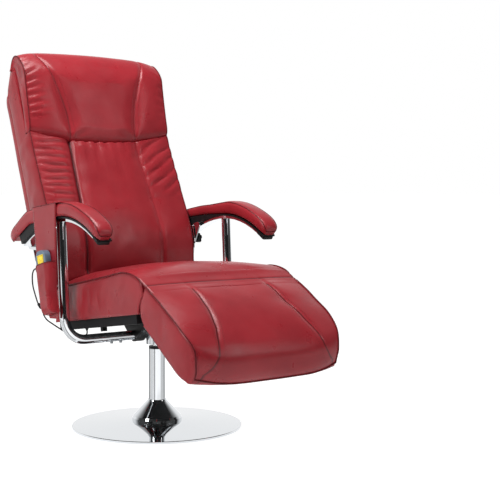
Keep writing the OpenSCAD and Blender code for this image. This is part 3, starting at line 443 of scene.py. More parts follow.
# %% Finishes on the hard parts
worn_by = {
    chrome: "base_cover column_tube trumpet_cover spindle hub_housing lower_frame_tube upper_posts "
        "arm_bows recline_brackets quadrants",
    zinc: "ballast_plate base_bolts lower_bearing pivot_bolts frame_bolts legrest_hinges "
        "legrest_pins legrest_tongues",
    floor_rubber: "floor_pad",
    black_plastic: "column_collar arm_liners control_box cord_gland cord_connector "
        "left_recline_knob right_recline_knob legrest_pan",
    black_steel: "seat_saddles",
    motor_grey: "seat_motors back_motors legrest_motors",
    heater_film: "heating_pad",
    black_timber: "seat_frame",
    plywood: "seat_board back_board legrest_board",
    grey_abs: "remote_back_shell remote_front_shell",
    yellow_film: "remote_display",
    blue_film: "remote_panel",
    board_green: "remote_circuit_board",
    white_key: "button_mode button_intensity button_shoulder button_seat button_back button_leg",
    red_key: "button_power button_heat",
}
for material, names in worn_by.items():
    for name in names.split():
        node = nodes[name]
        if not node.material_slots:
            node.data.materials.append(material)
        for place in node.material_slots:
            place.material = material
print("finished", sum(len(names.split()) for names in worn_by.values()), "hard parts")

# %% [markdown]
# ## How the cushions are drawn
# A boxed cushion has a crowned top, two upright side bands and a flat underside, sewn together
# along its side edges. Its skin is made of rings that run round it across the chair: over the top,
# down one band, back along the underside and up the other. The rings follow one another along two
# chains of measured points, one over the top and one along the underside, that meet at both ends.
# A seam on the top stays at the same place in every ring, so that it can be sunk and darkened with
# painted shade.

# %% Rings of a boxed cushion
SIDES = 14   # points down a side band


def shares_of(seams, count):
    """Shares across the half width, from 0 to 1, closer together on both sides of each seam."""
    base = list(np.linspace(0, 1, count))
    near = [seam + d for seam in seams for d in (-0.05, -0.03, -0.015, 0, 0.015, 0.03, 0.05)]
    kept = [u for u in base if all(abs(u - seam) > 0.06 for seam in seams)]
    edge = [0.965, 0.985, 0.995]
    half = sorted(set([round(u, 5) for u in kept + near + edge]))
    return np.array([-u for u in half[:0:-1]] + half)


def arch(u):
    """Share of the crown at a share of the half width: flat in the middle, falling at the sides."""
    return 1 - np.abs(u) ** 3.2


def pinch(u, at, width=0.045):
    """1 on a seam, falling to 0 within the width on both sides."""
    return np.clip(1 - np.abs(np.abs(u) - at) / width, 0, 1) ** 1.5


def soft_noise(x, y, z, size, seed=0.0):
    """Slow noise from -1 to 1 over about this many millimetres."""
    return noise.noise(Vector((x / size + seed, y / size - seed, z / size)))


def boxed(top, bottom, bulge, place, crease=0.0):
    """Rings of a boxed cushion from top rows of (x, a, b) and an underside of (a, b) points."""
    rings = []
    for row, foot in zip(top, bottom):
        half = abs(row[0][0])
        v = (np.arange(1, SIDES) / SIDES)[:, None]
        down = row[-1][1:] + (np.array(foot) - row[-1][1:]) * v
        sides = []
        for sign in (1, -1):
            slack = np.array([[crease * soft_noise(sign * 40, a * 1.2, b * 1.2, 46, 70)]
                for a, b in down])
            out = (bulge + slack) * np.sin(math.pi * v) ** 0.8
            sides.append(np.hstack([sign * (half + out), down]))
        under = np.array([(x, *foot) for x in row[::-1, 0]])
        rings.append(place(np.vstack([row, sides[0], under, sides[1][::-1]])))
    return np.array(rings)


def spread_out(u, seam, half):
    """Place across the chair of a share, with the seam at one half."""
    w = 2 * abs(u)
    return math.copysign(w * seam if w < 1 else seam + (w - 1) * (half - seam), u)


def seam_shade_marks(rings, columns, edge=0.3):
    """Painted shade: columns along a boxed cushion's top, then a little beside the piping."""
    marks = np.zeros(rings.shape[:2], np.float32)
    count = len(columns)
    marks[:, :count] = columns
    for place in (0, count - 1):
        marks[:, place] = np.maximum(marks[:, place], edge)
    marks[:, count] = edge * 0.8
    marks[:, -1] = edge * 0.8
    return marks


def covered(name, rings, marks=None, **form):
    """A named piece of red leather made from rings."""
    return piece(name, skin(name, rings, marks, **form), red_leather)


print("shares across one half:", len(shares_of([0.5], 12)) // 2 + 1)

# %% [markdown]
# ## Seat cushion
# The seat is tilted up towards the knees. Its cover is one crowned panel with deep side bands and
# a few slack folds. At the front it rolls down to the leg rest's hinge line. Two slots in its
# front underside leave room for the leg rest's steel straps.

# %% Seat cushion's rings
seat_hw = 245.0
seat_tilt = math.radians(8.24)
seat_y, seat_z = 28, 298         # where the seat's tilted frame has its origin
strap_slot = (187.9, 188.0, 212.0, 212.1)
strap_x, strap_half = 200, 12.05
slot_end, slot_top = -262, 437   # the slots' rear end and their height


def seat_under(y):
    """Height of the seat board's top."""
    return seat_z + (seat_y - y) * math.tan(seat_tilt) + 37.05 / math.cos(seat_tilt)


seat_top = through([(147, seat_under(147), 0), (146, 360, 0.02), (147, 398, 0.35), (138, 406, 0.8),
    (91, 413, 0.95), (20, 426, 0.9), (-49, 439, 0.82), (-130, 454, 0.62), (-216, 470, 0.32),
    (-265, 466, 0.2), (-290, 458, 0.12), (-303, 449, 0.04), (-311.4, 424, 0)], 7)
seat_wrap = 13.2 / math.cos(seat_tilt)   # the cover is drawn round the board's edge
seat_nose = through([(-311.4, 424, 0), (-296.5, 395, 0), (-292, seat_under(-292), 0),
    (-292, seat_under(-292) - seat_wrap, 0)], 7)
seat_chain = np.vstack([[(147, seat_under(147) - seat_wrap, 0)], seat_top, seat_nose[1:]])
seat_foot = spread([(147, seat_under(147) - seat_wrap), (-292, seat_under(-292) - seat_wrap)],
    len(seat_chain))
seat_x = np.array(sorted(set(np.round(np.concatenate([shares_of([], 26) * seat_hw,
    strap_slot, [-x for x in strap_slot]]), 2))))


def seat_row(y, z, share):
    """One row of the seat's top: the crown, and the slack folds that sitting leaves."""
    rows = []
    for x in seat_x:
        u = x / seat_hw
        lift = 44 * share * arch(u)
        fold = 1.6 * soft_noise(x, y, z, 90) + 0.7 * soft_noise(x, y, z, 35, 3)
        lift += fold * min(1, 6 * share) * (1 - abs(u) ** 6)
        low = abs(abs(x) - strap_x) < strap_half and y < slot_end and z < slot_top
        rows.append((x, slot_end if low else y, z + lift))
    return np.array(rows)


def as_is(points):
    """Points that are already in the chair's frame."""
    return points


def by_straps(rings, top):
    """Which points lie in a strap slot below its top."""
    return (np.abs(np.abs(rings[..., 0]) - strap_x) < strap_half) & (rings[..., 2] < top)


seat_rings = boxed([seat_row(*p) for p in seat_chain], seat_foot, 3.0, as_is, crease=3.4)
in_slot = by_straps(seat_rings, slot_top) & (seat_rings[..., 1] < slot_end)
seat_rings[..., 1] = np.where(in_slot, slot_end, seat_rings[..., 1])
# Painted shade only beside the piping, as the seat's top has no seams.
seat_seam_shade = seam_shade_marks(seat_rings, np.zeros(len(seat_x)))
seat_cushion = covered("seat_cushion_cover", seat_rings, seat_seam_shade)
print("seat skin:", len(seat_cushion.data.polygons), "faces")

# %% [markdown]
# ## Leg rest cushion
# The leg rest's cover has three lengthwise panels. Their two seams start at about the middle of
# each half and swing out to the foot end's corners. The foot end is a thick roll, shorter at its
# corners.

# %% Leg rest cushion's rings
leg_fall = math.radians(33)
leg_hw = 245.0
leg_slot_end = -340


def leg_under(y):
    """Height of the leg rest board's top."""
    return 343.05 + (y + 330) * math.tan(leg_fall)


leg_wrap = 14.0   # the cover is drawn round the board's edge
leg_fold = through([(-314, leg_under(-314) - leg_wrap, 0), (-321, leg_under(-321), 0),
    (-300.5, 372, 0), (-298, 395, 0), (-312.6, 424, 0)], 7)
leg_top = through([(-312.6, 424, 0), (-322, 438, 0.1), (-346, 428, 0.7), (-380, 410, 1),
    (-415, 388, 1), (-460, 361, 1), (-502, 327, 0.8), (-532, 300, 0.4), (-547, 276, 0.1),
    (-549, 250, 0), (-543, 224, 0), (-527, 208, 0), (-510, 207, 0), (-500, 213, 0)], 6)
leg_chain = np.vstack([leg_fold, leg_top[1:]])
leg_run = run_of(leg_chain[:, :2])
leg_run -= leg_run[len(leg_fold) - 1]   # measured from the hinge line
leg_foot = spread([(-314, leg_under(-314) - leg_wrap), (-500, 213)], len(leg_chain))
leg_u = shares_of([0.5], 16)


def leg_seam(run):
    """Half width of the leg rest's middle panel at a distance from the hinge line."""
    return np.interp(run, [0, 50, 135, 210, 262, 296, 326, 352, 395],
        [124, 122, 129, 148, 173, 191, 211, 232, 238])


def leg_corners(points):
    """Draws the foot end's corners in and up: they are rounded from above and from the front."""
    x, y, z = np.moveaxis(np.array(points, float), -1, 0)
    t = np.clip((-455 - y) / 95, 0, 0.99)
    low = np.clip((262 - z) / 45, 0, 1)
    narrow = 1 - (0.19 + 0.12 * low) * (1 - np.sqrt(1 - t * t))
    return np.stack([x * narrow, y, z + 17 * low * (np.abs(x) / leg_hw) ** 6 * t ** 1.5], -1)


def leg_row(y, z, share, run):
    """One row of the leg rest's top, with its two sunk seams."""
    rows = []
    for u in leg_u:
        x = spread_out(u, leg_seam(run), leg_hw)
        lift = (14 * arch(x / leg_hw) - 4.5 * pinch(u, 0.5)) * share
        lift += 1.9 * soft_noise(x, y, z, 85, 5) * ramp(run, 4, 60) * (1 - abs(u) ** 8)
        a, b = y - lift * math.sin(leg_fall), z + lift * math.cos(leg_fall)
        pull = 24 * abs(x / leg_hw) ** 5 * (-500 - y) / 48 if y < -500 else 0
        rows.append((x, a + pull, b + pull * math.tan(leg_fall)))
    return np.array(rows)


leg_rings = boxed([leg_row(*p, run) for p, run in zip(leg_chain, leg_run)], leg_foot, 3.0,
    leg_corners, crease=2.6)
# Painted shade along the two sunk seams and beside the piping.
leg_seam_shade = seam_shade_marks(leg_rings, pinch(leg_u, 0.5, 0.022))
in_slot = by_straps(leg_rings, 435) & (leg_rings[..., 1] > leg_slot_end)
leg_rings[..., 1] = np.where(in_slot, leg_slot_end, leg_rings[..., 1])
legrest_cushion = covered("legrest_cushion_cover", leg_rings, leg_seam_shade)
print("leg rest skin:", len(legrest_cushion.data.polygons), "faces")

# %% [markdown]
# ## Backrest frame of reference
# The back leans by 22 degrees. Its parts are drawn upright, as distances s up the slope and n in
# front of it, and one function sets them in the chair.

# %% Back cushion's shape
lean = math.radians(22)
back_hw = 241.0
back_y, back_z = 204, 390          # where s and n are 0
flap_side, flap_dip = 474, 36      # the flap's s at the sides, and how far it hangs in the middle


def on_back(points):
    """Points (x, s, n) of the back in the chair's own frame."""
    x, s, n = np.moveaxis(np.array(points, float), -1, 0)
    return tilted(np.stack([x, -n, s], axis=-1), (0, back_y, back_z), lean)


def flap_s(x):
    """Lower edge of the head cushion: lowest in the middle."""
    return flap_side - flap_dip * (1 - (x / back_hw) ** 2)


def top_drop(s, u):
    """How far the upper edge, which is crowned and has round corners, lies below the board's."""
    return (9 * u * u + 12 * abs(u) ** 8 - 17) * (s - 600) / 128 if s > 600 else 0


def back_seam(s):
    """Half width of the back's middle panel."""
    return np.interp(s, [140, 420], [130, 114])


def head_seam(s):
    """Half width of the head cushion's middle panel."""
    return 114 + 72 * np.clip((s - flap_side) / 226, 0, 1) ** 1.8


front_line = through([(20, 54), (36, 60), (55, 66), (90, 78), (134, 88), (200, 88), (265, 84),
    (345, 78), (422, 73), (480, 72)], 4)


def pleat(phase):
    """Height of a gathered fold, rounded on top and sharp in its valley."""
    return abs(math.sin(math.pi * phase)) ** 0.75 - 0.62


def back_valley(u):
    """Depth of the middle panel's seams: deep at the sitter's right, shallow at the left."""
    if u < 0:
        return 15 * pinch(u, 0.5, 0.035 if u > -0.5 else 0.11)
    return 5 * pinch(u, 0.5, 0.05)


def back_lift(x, s, u):
    """What the padding adds in front of the side seam's line."""
    start = np.clip((s - 20) / 70, 0, 1)
    lift = 11 * (1 - 2 * u * u) if abs(u) < 0.5 else 8 * arch(u)
    w = max(0, 2 * abs(u) - 1)
    wander = 9 * soft_noise(x, s, 0, 80, 1) + 4 * soft_noise(x, s, 0, 30, 4)
    uneven = 1 + 0.55 * soft_noise(x, s, 0, 55, 33)
    if u < -0.5:
        folds = uneven * ramp(s, 190, 300) * ramp(w, 0.06, 0.4) * (1 - 0.3 * w) * (1 - w ** 8)
        lift += 6.4 * folds * pleat((s + wander - 10 * w) / 24)
    elif u > 0.5:
        folds = uneven * ramp(s, 230, 330) * math.sin(math.pi * min(1, w * 0.9 + 0.02)) ** 0.8
        lift += 7.5 * folds * pleat((s + wander - 0.62 * (abs(x) - 114)) / 40)
    else:
        gather = math.exp(-max(0, flap_s(x) - s) / 42)
        lift += 7.4 * uneven * gather * pleat((x + 0.7 * wander) / 33) * (1 - (2 * abs(u)) ** 8)
        lift += 2.4 * soft_noise(x * 1.7, s * 0.5, 0, 75, 21) * (1 - 4 * u * u)
    lift += 1.5 * soft_noise(x, s, 0, 60, 8)
    return start * lift - ramp(s, 18, 44) * back_valley(u)


back_u = shares_of([0.5], 22)
heel = through([(20.8, -17.6), (9, -4), (4.5, 14), (5, 31), (10, 45), (20, 54)], 7)
back_top, back_foot = [], []
for s, n in heel:
    back_top.append(np.array([(spread_out(u, back_seam(s), back_hw), s, n) for u in back_u]))
    back_foot.append((np.interp(n, [-17.6, 54], [20.8, 60]), -18))
for share in np.linspace(0, 1, 146)[1:]:
    row = []
    for u in back_u:
        x = spread_out(u, back_seam(20 + share * 430), back_hw)
        s = 20 + share * (flap_s(x) - 0.5 - 20)
        n = np.interp(s, front_line[:, 0], front_line[:, 1]) + back_lift(x, s, u)
        row.append((x, s, n))
    back_top.append(np.array(row))
    back_foot.append((60 + share * 390, -18))
# The ledge under the head cushion, then over the board's upper edge: s (0 is the flap), n and foot.
for s, n, foot in ((0, 48, 452), (692, 48, 560), (692, 24, 590), (660, -2, 610), (620, -18, 620)):
    row = []
    for u in back_u:
        x = spread_out(u, back_seam(449), back_hw)
        top = flap_s(x) - 0.5 if s == 0 else s
        row.append((x, top - top_drop(top, x / back_hw), n))
    back_top.append(np.array(row))
    back_foot.append((foot, -18))
back_rings = boxed(back_top, back_foot, 3.5, on_back, crease=2.4)
# Painted shade along the middle panel's seams: dark and wide outside the deep seam at the sitter's
# right, faint at the left.
seam_shade_reach = np.where(back_u < -0.5, 0.07, 0.024)
back_seam_shade = seam_shade_marks(back_rings, np.where(back_u < 0, 1.0, 0.3) * pinch(back_u, 0.5, seam_shade_reach))
back_cushion = covered("back_cushion_cover", back_rings, back_seam_shade)
print("back skin:", len(back_cushion.data.polygons), "faces")

# %% [markdown]
# ## Head cushion
# A thick pad is sewn over the upper third. Its lower edge hangs free in a shallow curve and casts
# a dark line across the back, which painted shade on the edge's underside deepens. Its side panels
# are gathered where they meet the side bands.

# %% Head cushion's rings
head_line = through([(0, 48.05, 0), (0, 70, 0.2), (12, 80, 0.9), (50, 87, 1), (100, 96, 1),
    (150, 106, 1), (178, 111, 0.9), (200, 107, 0.7), (222, 97, 0.5), (240, 84, 0.3),
    (249, 68, 0.1), (247, 54, 0), (236, 40, 0), (218.3, 26, 0)], 4)
head_foot = spread([(0, 48.05), (218.3, 48.05), (218.3, 26)], len(head_line))


def head_lift(x, s, u):
    """Crown, seams and gathers of the head cushion."""
    w = max(0, 2 * abs(u) - 1)
    lift = 10 * arch(u) - 7 * pinch(u, 0.5, 0.04)
    wander = 5 * soft_noise(x, s, 0, 60, 12) + 2 * soft_noise(x, s, 0, 22, 14)
    if u < -0.5:
        folds = ramp(s, 490, 530) * ramp(w, 0.35, 0.9) * (1 - w ** 14)
        lift += 6.0 * folds * pleat((s + wander - 26 * (1 - w)) / 23)
    elif u > 0.5:
        folds = ramp(s, 500, 560) * ramp(w, 0.55, 0.95) * (1 - w ** 14)
        lift += 3.4 * folds * pleat((s + wander - 20 * (1 - w)) / 27)
    return lift + 1.2 * soft_noise(x, s, 0, 70, 16)


def head_s(t, low):
    """Place up the back of a step t of the head's outline, drawn down to the flap's own edge."""
    return t + flap_side if t > 210 else low + (flap_side + 210 - low) * t / 210


head_top, head_low = [], []
for (t, n, share), (ft, fn) in zip(head_line, head_foot):
    row = []
    for u in back_u:
        guess = spread_out(u, head_seam(flap_side + t), back_hw)
        s = head_s(t, flap_s(guess))
        x = spread_out(u, head_seam(s), back_hw)
        row.append((x, s - top_drop(s, x / back_hw), n + share * head_lift(x, s, u)))
    head_top.append(np.array(row))
    s = head_s(ft, flap_s(back_hw))
    head_low.append((s - top_drop(s, 1), fn))
head_rings = boxed(head_top, head_low, 3.5, on_back, crease=2.0)
# Painted shade along the middle panel's seams, and on the first rows, which are the underside of
# the hanging lower edge.
head_seam_shade = seam_shade_marks(head_rings, np.where(back_u < 0, 0.6, 0.35) * pinch(back_u, 0.5, 0.02))
head_seam_shade[:3] = 0.8
head_cushion = covered("head_cushion_cover", head_rings, head_seam_shade)
print("head skin:", len(head_cushion.data.polygons), "faces")

# %% [markdown]
# ## Arm pads
# Each armrest is a chromed steel bow with a black liner and a padded sleeve on top. The sleeve is a
# rounded box in section. It is drawn as rings along the bow's curve, a cubic from the rear end to
# the nose, and both its ends are drawn in.

# %% Arm pads along their bow
arm_points = np.array([(300, 492), (150, 585), (0, 650), (-165, 543)], float)
pad_x, arm_w = 248.8, 56.0


def arm_at(t, lift):
    """A point (y, z) above the bow's underside at a share of its length."""
    a, b, c, d = arm_points
    p = (1 - t) ** 3 * a + 3 * t * (1 - t) ** 2 * b + 3 * t * t * (1 - t) * c + t ** 3 * d
    q = 3 * (1 - t) ** 2 * (b - a) + 6 * t * (1 - t) * (c - b) + 3 * t * t * (d - c)
    return p + lift * np.array([q[1], -q[0]]) / np.linalg.norm(q)


def liner_at(t):
    """Thickness of the black liner under the pad."""
    return 5 + 33 * min(1, max(0, (0.6 - t) / 0.35) ** 1.7)


def pad_at(t):
    """Thickness of the pad, which is fullest towards the nose."""
    swell = 0.72 + 0.28 * math.sin(math.radians(180 * np.clip(t * 0.9, 0, 1)))
    return 33 * swell + 8 * ramp(t, 0.45, 0.72)


def pad_top(t, above):
    """A point (y, z) above the pad's top at a share of the bow's length."""
    return arm_at(t, 8 + liner_at(t) + pad_at(t) + above)


def squared(value, power):
    """A sine or cosine swollen towards a square's, with its sign kept."""
    return math.copysign(abs(value) ** power, value)


TURNS = {"right": (1, 1, 1), "left": (-1, 1, 1)}


def pair(kind, rings, material):
    """A right and a left piece, mirrored, from one set of rings."""
    return {side: piece(f"{side}_{kind}", skin(f"{side}_{kind}", rings * turn, ends=True), material)
        for side, turn in TURNS.items()}


PAD_SIDES = 40
pad_stations = np.concatenate([[0, 0.004, 0.012, 0.024, 0.04], np.linspace(0.06, 0.92, 56),
    [0.935, 0.948, 0.96, 0.97, 0.979, 0.987, 0.994, 1]])
pad_rings = []
for t in pad_stations:
    near = 1 - min(np.clip(t / 0.06, 0, 1), np.clip((1 - t) / 0.06, 0, 1))
    full = math.sqrt(1 - near ** 2)
    wide, tall = 0.58 + 0.42 * full, 0.56 + 0.44 * full
    low, thick = 8 + liner_at(t) + 0.05, pad_at(t)
    hang = 18 * ramp(t, 0, 0.03) * (1 - ramp(t, 0.3, 0.68))
    ring = []
    for j in range(PAD_SIDES):
        a = 2 * math.pi * j / PAD_SIDES
        c, s = math.cos(a), math.sin(a)
        w, h = squared(c, 0.5), squared(s, 0.62)
        grow = 1.0 * soft_noise(w * 30, t * 700, h * 20, 45, 30)
        lip = hang * ramp(w, 0.7, 0.84) * max(0, -h)
        lift = low + thick / 2 * tall * (1 + h) + (grow if s > 0.1 else 0) - lip
        y, z = arm_at(t, lift)
        ring.append((pad_x + arm_w / 2 + arm_w / 2 * w * wide, y, z))
    pad_rings.append(ring)
pad_rings = np.array(pad_rings)
arm_pads = pair("arm_pad_cover", pad_rings, red_leather)
cap_rings = []
for t, share in ((0.945, 0.6), (0.947, 0.9), (0.951, 1), (0.97, 1), (0.99, 1), (1.0, 1),
        (1.004, 0.9), (1.006, 0.6)):
    ring = []
    for a in np.arange(24) * math.pi / 12:
        w, h = squared(math.cos(a), 0.35), squared(math.sin(a), 0.35)
        y, z = arm_at(t, 4.2 + 5.6 * share * h)
        ring.append((pad_x + arm_w / 2 - 2.4 + 18.6 * share * w, y, z))
    cap_rings.append(ring)
arm_caps = pair("arm_end_cap", np.array(cap_rings), black_plastic)
print("arm pads:", len(arm_pads["left"].data.polygons), "faces each, and caps on the bows' ends")

# %% [markdown]
# ## Panel behind the back
# A slightly crowned panel closes the back. Both its ends turn in towards the back cushion.

# %% Rear cover
rear_line = through([(30, -18), (31, -34), (36, -40), (200, -43), (400, -43), (560, -41),
    (612, -41), (630, -33), (637, -18)], 12)
rear_u = shares_of([], 24)
rear_rows = []
for s, n in rear_line:
    row = []
    for u in rear_u:
        puff = 5.5 * (1 - abs(u) ** 4) * ramp(s, 34, 90) * (1 - ramp(s, 560, 632)) * (n < -30)
        ripple = 1.0 * soft_noise(u * 239, s, 9, 75, 40) * (n < -30)
        row.append((u * 238.5, s, n - puff - ripple))
    rear_rows.append(np.array(row))
rear_rings = boxed(rear_rows, spread([(30, -18), (637, -18)], len(rear_line)), 1.0, on_back)
rear_cover = covered("rear_cover_panel", rear_rings)
print("rear cover:", len(rear_cover.data.polygons), "faces")

# %% [markdown]
# ## Padding presses the covers out
# The foam and wadding push each cover out between its seams, and the leather draws into small
# creases beside them. A short cloth simulation does that: the cover is held along its seams and
# where it lies on its board, air pressure stands for the padding, and gravity is off. How far a
# point may move is limited, which holds the head cushion back the most.

# %% Cloth simulation of the covers
PADDING_PRESSURE = 4.0
PADDING_REACH = 4.0    # no point moves further than this, in mm
LAST_FRAME = 20


def pressed_out(obj, held, pressure, most):
    """Runs the cloth up to its last frame and keeps the result; held tells of a point in mm."""
    count = len(obj.data.vertices)
    start = np.zeros(count * 3, np.float32)
    obj.data.vertices.foreach_get("co", start)
    start = start.reshape(-1, 3)
    marks = np.zeros(count, np.float32)
    obj.data.attributes["seam"].data.foreach_get("value", marks)
    group = obj.vertex_groups.new(name="held")
    fixed = [i for i in range(count) if marks[i] > 0.12 or held(start[i] / MM)]
    group.add(fixed, 1.0, "REPLACE")
    cloth_run = obj.modifiers.new("padding", "CLOTH")
    how = cloth_run.settings
    how.quality = 4
    how.mass = 0.4
    how.tension_stiffness = how.compression_stiffness = 20
    how.shear_stiffness = 8
    how.bending_stiffness = 1.5
    how.use_pressure = True
    how.uniform_pressure_force = pressure
    how.effector_weights.gravity = 0
    how.vertex_group_mass = "held"
    cloth_run.collision_settings.use_collision = False
    cloth_run.point_cache.frame_start, cloth_run.point_cache.frame_end = 1, LAST_FRAME
    for frame_number in range(1, LAST_FRAME + 1):
        bpy.context.scene.frame_set(frame_number)
    swollen = obj.evaluated_get(bpy.context.evaluated_depsgraph_get()).data
    end = np.zeros(count * 3, np.float32)
    swollen.vertices.foreach_get("co", end)
    move = end.reshape(-1, 3) - start
    far = np.linalg.norm(move, axis=1)
    reach = np.minimum(1, most * MM / np.maximum(far, 1e-9))[:, None]
    obj.data.vertices.foreach_set("co", (start + move * reach).ravel())
    obj.modifiers.remove(cloth_run)
    obj.vertex_groups.remove(group)
    bpy.context.scene.frame_set(1)
    obj.data.update()
    return float(far.max() / MM)


def held_at_seat(p):
    """Whether a point is held: low by the seat board, or at the seat's rear or front edge."""
    return p[2] < seat_under(p[1]) + 22 or p[1] > 130 or p[1] < -285


def held_at_leg(p):
    """Whether a point is held: low by the leg rest's board, near the hinge or at the foot."""
    return p[2] < leg_under(p[1]) + 16 or p[1] > -338 or p[1] < -520


def held_at_back(p):
    """Whether a point of the back or head lies behind the front panels or at their lower edge."""
    y, z = p[1] - back_y, p[2] - back_z
    s = y * math.sin(lean) + z * math.cos(lean)
    n = z * math.sin(lean) - y * math.cos(lean)
    return n < 34 or s < 40


for obj, held in ((seat_cushion, held_at_seat), (legrest_cushion, held_at_leg),
        (back_cushion, held_at_back), (head_cushion, held_at_back)):
    far = pressed_out(obj, held, PADDING_PRESSURE, PADDING_REACH)
    print(obj.name, "wanted to move", round(far, 1), "mm")

# %% [markdown]
# ## The fold between seat and leg rest
# The cover runs on from the seat to the leg rest over the hinge. A strip of it bridges the two
# cushions, sewn across near its middle.

# %% Fold strip
def sheet_of(name, rows, thickness, offset=0, marks=None):
    """A thin leather sheet through rows of points."""
    sheet = covered(name, rows, marks, round_about=False)
    thicken(sheet, thickness, offset)
    return sheet


def row_at(rows, y):
    """The row of a cushion's top whose middle lies nearest to y."""
    return min(rows, key=lambda row: abs(row[len(row) // 2][1] - y))


seat_rows = [seat_row(*p) for p in seat_top]
leg_rows = [leg_corners(leg_row(*p, run)) for p, run in zip(leg_top, leg_run[len(leg_fold) - 1:])]
fold_x = np.linspace(-243.5, 243.5, 82)
marks = []
for rows, y in ((seat_rows, -276), (seat_rows, -286), (seat_rows, -295), (leg_rows, -334),
        (leg_rows, -344), (leg_rows, -356)):
    row = row_at(rows, y)
    marks.append(np.stack([fold_x, np.interp(fold_x, row[:, 0], row[:, 1]),
        np.interp(fold_x, row[:, 0], row[:, 2])], axis=1))
fold_lines = []
for column in np.swapaxes(np.array(marks), 0, 1):
    fold_lines.append(spread(through(column, 3), 26))
fold_grid = np.swapaxes(np.array(fold_lines), 0, 1)
fold_v = np.linspace(0, 1, 26)
fold_sink = np.clip(1 - np.abs(fold_v - 0.56) / 0.07, 0, 1) ** 1.5
edge_dip = 1.6 * (np.abs(fold_v - 0.5) * 2) ** 6
fold_grid[:, :, 2] += (1.3 - 1.8 * fold_sink - edge_dip)[:, None]
# The sewn line across the strip is darkened with painted shade.
fold_seam_shade = np.repeat((fold_sink * 0.9)[:, None], len(fold_x), axis=1)
fold_strip = sheet_of("fold_strip", fold_grid, 1.2, offset=-1, marks=fold_seam_shade)
print("fold strip:", len(fold_strip.data.polygons), "faces")

# %% [markdown]
# ## The pocket
# A flap of the same leather lies over the near arm, hangs down on its outside and carries a sewn
# pocket for the hand control. It is thin, so it is drawn as sheets: the hanging panel, the strap
# over the arm, the hem on the arm's inner side and the pocket's shell, whose mouth gapes around
# the control's head.

# %% Hanging panel, strap and pocket
panel_out = -307.9      # outer face of the hanging panel
pocket_tilt = math.radians(13.3)
pocket_low, pocket_rise = -110, 142   # the pocket's foot and its height, along the control
handset_y, handset_z = 75.4, 447   # middle of the hand control


def on_handset(points):
    """Points (x, across, along) of the hand control's own frame in the chair's frame."""
    return tilted(points, (handset_x, handset_y, handset_z), pocket_tilt)


strap_top = [pad_top(t, 2.2) for t in np.linspace(0.34, 0.59, 24)]
front_edge = through([strap_top[-1], (35, 515), (30, 405), (17, 350), (24, 331)], 6)
rear_edge = through([strap_top[0], (149, 515), (124, 405), (90, 350), (70, 328)], 6)
front_edge, rear_edge = spread(front_edge, 70), spread(rear_edge, 70)
panel_rows = []
for i, (a, b) in enumerate(zip(front_edge, rear_edge)):
    row = []
    for share in np.linspace(0, 1, 24):
        y, z = a + (b - a) * share
        if i == 0:
            y, z = strap_top[-1 - round(share * 23)]
        sway = 1.2 * soft_noise(y, z, 0, 60, 50) * ramp(i, 3, 14)
        row.append((panel_out + 1.3 + sway * 0.6, y, z))
    panel_rows.append(row)
hanging_grid = np.array(panel_rows)
pocket_panel = sheet_of("pocket_panel", hanging_grid, 2.2)
print("hanging panel:", round(length_of(front_edge)), "mm long at its front edge")

# %% Strap over the arm
strap_rows = []
for t in np.linspace(0.33, 0.6, 26):
    row = []
    for x in np.linspace(-307.6, -246.4, 22):
        edge = max(0, abs(x + 277) - 20) / 10.6
        y, z = pad_top(t, 2.2 - 1.2 * edge ** 2)
        row.append((x, y, z))
    strap_rows.append(row)
pocket_strap = sheet_of("pocket_strap", strap_rows, 2.2)
inner_rows = []
for z_share in np.linspace(0, 1, 12):
    row = []
    for t in np.linspace(0.34, 0.59, 24):
        y, z = pad_top(t, 1.6)
        row.append((-246.9 + 0.5 * z_share, y + (86 - y) * 0.12 * z_share, z + (606 - z) * z_share))
    inner_rows.append(row)
pocket_hem = sheet_of("pocket_hem", inner_rows, 1.6)
print("strap:", round(length_of([r[0] for r in strap_rows])), "mm over the arm")

# %% Pocket shell
def pocket_edges(b):
    """Where the pocket's front and rear edges lie at a place along the control."""
    return (np.interp(b, [-110, -50, 0, 32], [-32, -33, -42, -48]),
        np.interp(b, [-110, -96, -80, -55], [23, 31, 36, 38]))


def pocket_stand(a, b):
    """How far the pocket's skin stands off the panel, a across and b along the control."""
    front, rear = pocket_edges(b)
    if a < -16:
        side = (1 - min(1, (a + 16) / (front + 16)) ** 2.4) ** 0.625
    else:
        side = (1 - np.clip((a - 14) / (rear - 14), 0, 1) ** 3.2) ** 0.45
    foot = (1 - np.clip((-b - 84) / 26, 0, 1) ** 3.2) ** 0.45
    loose = 1.3 * soft_noise(a, b, 0, 34, 60)
    return min(side, foot) * (24.4 + loose) - 0.6


def pocket_place(across, up):
    """A place on the pocket from shares across it and up it; the mouth dips at the rear."""
    front, rear = pocket_edges(pocket_low + pocket_rise * up)
    a = front + (rear - front) * across
    b = pocket_low + (pocket_rise - 18 * ramp(a, 18, 36)) * up
    return (panel_out - handset_x - pocket_stand(a, b), a, b)


pocket_across = 0.5 - 0.5 * np.cos(np.linspace(0, math.pi, 54))
pocket_up = 1 - (1 - np.linspace(0, 1, 56)) ** 1.15
pocket_rows = on_handset([[pocket_place(across, up) for across in pocket_across]
    for up in pocket_up])
pocket = sheet_of("pocket_shell", pocket_rows, 1.5, offset=-1)
print("pocket:", len(pocket.data.polygons), "faces")

# %% [markdown]
# ## Dust cloth
# A thin black cloth is stapled under the seat frame and hangs a few millimetres low in the middle.

# %% Dust cloth under the seat
def on_seat(points):
    """Points (x, along, up) square to the seat board in the chair's frame."""
    return tilted(points, (0, seat_y, seat_z), seat_tilt)


